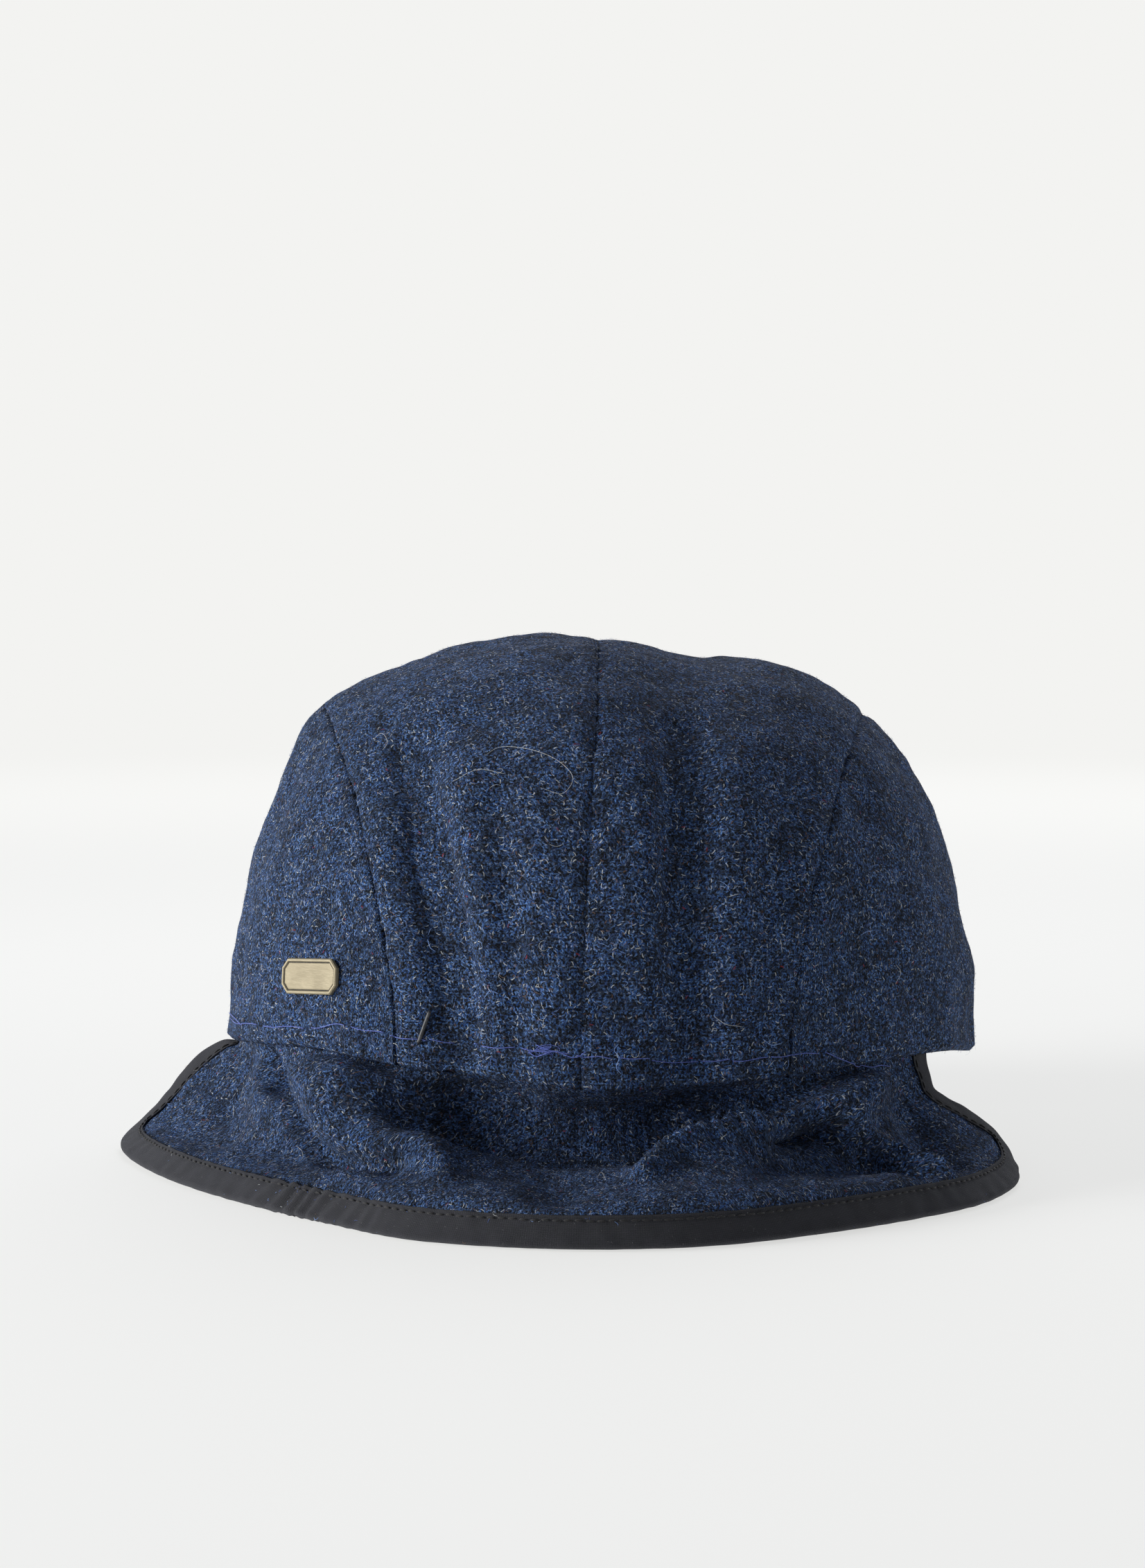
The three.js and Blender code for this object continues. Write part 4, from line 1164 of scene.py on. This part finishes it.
def bar_pin():
    """The small dark bar that lies on the crown above the hem."""
    start, end = (seen_at(x, y, 0.45)[0] for x, y in PIN_ENDS)
    parts = [tube(start + (end - start) * np.linspace(0, 1, 14)[:, None], 0.5, 12, 0.15)]
    return joined("bar_pin", parts, DARK_METAL)


def hairs(name, paths, radius, material):
    """Single curly fibres, each where the photograph shows one."""
    parts = [tube(on_cloth(path, 10 * len(path), 0.4), radius, 5, 0.5) for path in paths]
    return joined(name, parts, material)


def sample_cloth(name, count):
    """Random places on a cloth's outer face, with their normals."""
    mesh = cloths[name].data
    half = len(mesh.vertices) // 2
    mesh.calc_loop_triangles()
    tris = np.empty(len(mesh.loop_triangles) * 3, np.int32)
    mesh.loop_triangles.foreach_get("vertices", tris)
    tris = tris.reshape(-1, 3)
    tris = tris[(tris < half).all(1)]
    points = np.empty(len(mesh.vertices) * 3)
    mesh.vertices.foreach_get("co", points)
    points = points.reshape(-1, 3) * 1000 - SHIFT
    a, b, c = (points[tris[:, k]] for k in range(3))
    normal = np.cross(b - a, c - a)
    area = np.linalg.norm(normal, axis=1)
    pick = rng.choice(len(tris), count, p=area / area.sum())
    u, v = rng.random((2, count, 1))
    u, v = np.where(u + v > 1, 1 - u, u), np.where(u + v > 1, 1 - v, v)
    spots = a[pick] + (b[pick] - a[pick]) * u + (c[pick] - a[pick]) * v
    return spots, unit(normal[pick])


def fibres(name, share, length, width, height, curl, material):
    """Curled wool fibres that lie on and stand a little off the cloth, as thin ribbons."""
    points, faces, first = [], [], 0
    steps = 9
    t = np.linspace(0, 1, steps)
    for cloth, amount in FIBRE_SHARE.items():
        count = int(amount * share)
        at, normal = sample_cloth(cloth, count)
        side = unit(np.cross(normal, unit(rng.normal(size=(count, 3)))))
        other = np.cross(normal, side)
        size = length * np.exp(rng.normal(0, 0.35, count))
        bend = rng.normal(0, curl, count)
        wobble = rng.normal(0, 0.9, count)
        angle = bend[:, None] * t + wobble[:, None] * np.sin(2 * math.pi * t)
        step = (size / (steps - 1))[:, None, None]
        run = np.cos(angle)[..., None] * side[:, None] + np.sin(angle)[..., None] * other[:, None]
        rise = height * rng.random(count)[:, None] * np.sin(math.pi * t * rng.uniform(0.55, 1.0, count)[:, None])
        line = at[:, None] + np.cumsum(run * step, axis=1) + normal[:, None] * (0.03 + rise)[..., None]
        edge = np.cross(run, normal[:, None])
        wide = width * (1 - 0.75 * np.abs(2 * t - 1) ** 3)[None, :, None] / 2
        grid = np.stack([line - edge * wide, line + edge * wide], 2).reshape(-1, 3)
        index = np.arange(len(grid)).reshape(count, steps, 2) + first
        quad = np.stack([index[:, :-1, 0], index[:, :-1, 1], index[:, 1:, 1], index[:, 1:, 0]], -1)
        points.append(grid)
        faces.append(quad.reshape(-1, 4))
        first += len(grid)
    points, faces = np.concatenate(points), np.concatenate(faces)
    return finish(make(name, points, faces.tolist()), material)


stitches()
basting()
bar_pin()
for row in FIBRE_KINDS:
    fibres(*row)
hairs("pale_hairs", PALE_HAIRS, 0.05, FIBRE_KINDS[0][-1])
hairs("sky_hairs", SKY_HAIRS, 0.08, FIBRE_KINDS[1][-1])


# Stage, light and camera
def stage():
    bpy.ops.mesh.primitive_plane_add(size=8, location=(0, 0, 0))
    floor = bpy.context.object
    floor.name = "table"
    material, bsdf = shader("pale_table", colour(246, 246, 246)[:3], 0.6, Specular_IOR_Level=0.0)
    net = Net(material)
    place = net.node("TexCoord").outputs["Object"]
    away = net.node("VectorMath", {0: place}, operation="LENGTH").outputs["Value"]
    far = net.ramp(away, 0.35, 1.5)
    net.plug(net.mix(far, colour(152, 153, 153), (0, 0, 0, 1)), bsdf.inputs["Base Color"])
    bsdf.inputs["Emission Color"].default_value = colour(243, 243, 241)
    net.plug(net.ramp(far, 0, 1, FLOOR_GLOW, 1.0), bsdf.inputs["Emission Strength"])
    floor.data.materials.append(material)


def area_light(name, at, target, size, power, tone=(1, 1, 1)):
    data = bpy.data.lights.new(name, "AREA")
    data.shape = "DISK"
    data.size = size
    data.energy = power
    data.color = tone
    obj = bpy.data.objects.new(name, data)
    obj.location = at
    obj.rotation_euler = (Vector(target) - Vector(at)).to_track_quat("-Z", "Y").to_euler()
    bpy.context.scene.collection.objects.link(obj)


stage()
world = bpy.data.worlds.new("studio")
world.use_nodes = True
net = Net(world)
sky = world.node_tree.nodes["Background"]
seen = net.node("LightPath").outputs["Is Camera Ray"]
net.plug(net.mix(seen, (0.80, 0.86, 1.0, 1), colour(243, 243, 241)), sky.inputs[0])
way = net.node("SeparateXYZ", {0: net.node("TexCoord").outputs["Generated"]})
height = net.ramp(way.outputs["Z"], 0.0, 0.9, *SKY_POWER)
strength = net.math("MULTIPLY", height, net.ramp(way.outputs["Y"], -1.0, 1.0, 0.8, 1.2))
power = net.node("Mix", {"Factor": seen, "A": strength, "B": 1.0}, data_type="FLOAT")
net.plug(power.outputs[0], sky.inputs[1])
bpy.context.scene.world = world
area_light("window", WINDOW_AT, (0, 0, 0.05), 1.2, WINDOW_POWER, (1.0, 0.99, 0.975))
area_light("top_light", TOP_LIGHT_AT, (0, 0, 0.05), 1.4, TOP_LIGHT_POWER)
area_light("fill", FILL_AT, (0, 0, 0.05), 1.6, FILL_POWER)
bpy.context.scene.view_settings.view_transform = "Standard"

camera_data = bpy.data.cameras.new("camera")
camera_data.lens = LENS
camera_data.sensor_fit = "VERTICAL"
camera_data.sensor_height = 36
camera = bpy.data.objects.new("camera", camera_data)
camera.location = [(c + s) / 1000 for c, s in zip(CAMERA_AT, (SHIFT[0], SHIFT[1], 0))]
camera.rotation_euler = (math.radians(90 - CAMERA_PITCH), 0, 0)
bpy.context.scene.collection.objects.link(camera)
bpy.context.scene.camera = camera
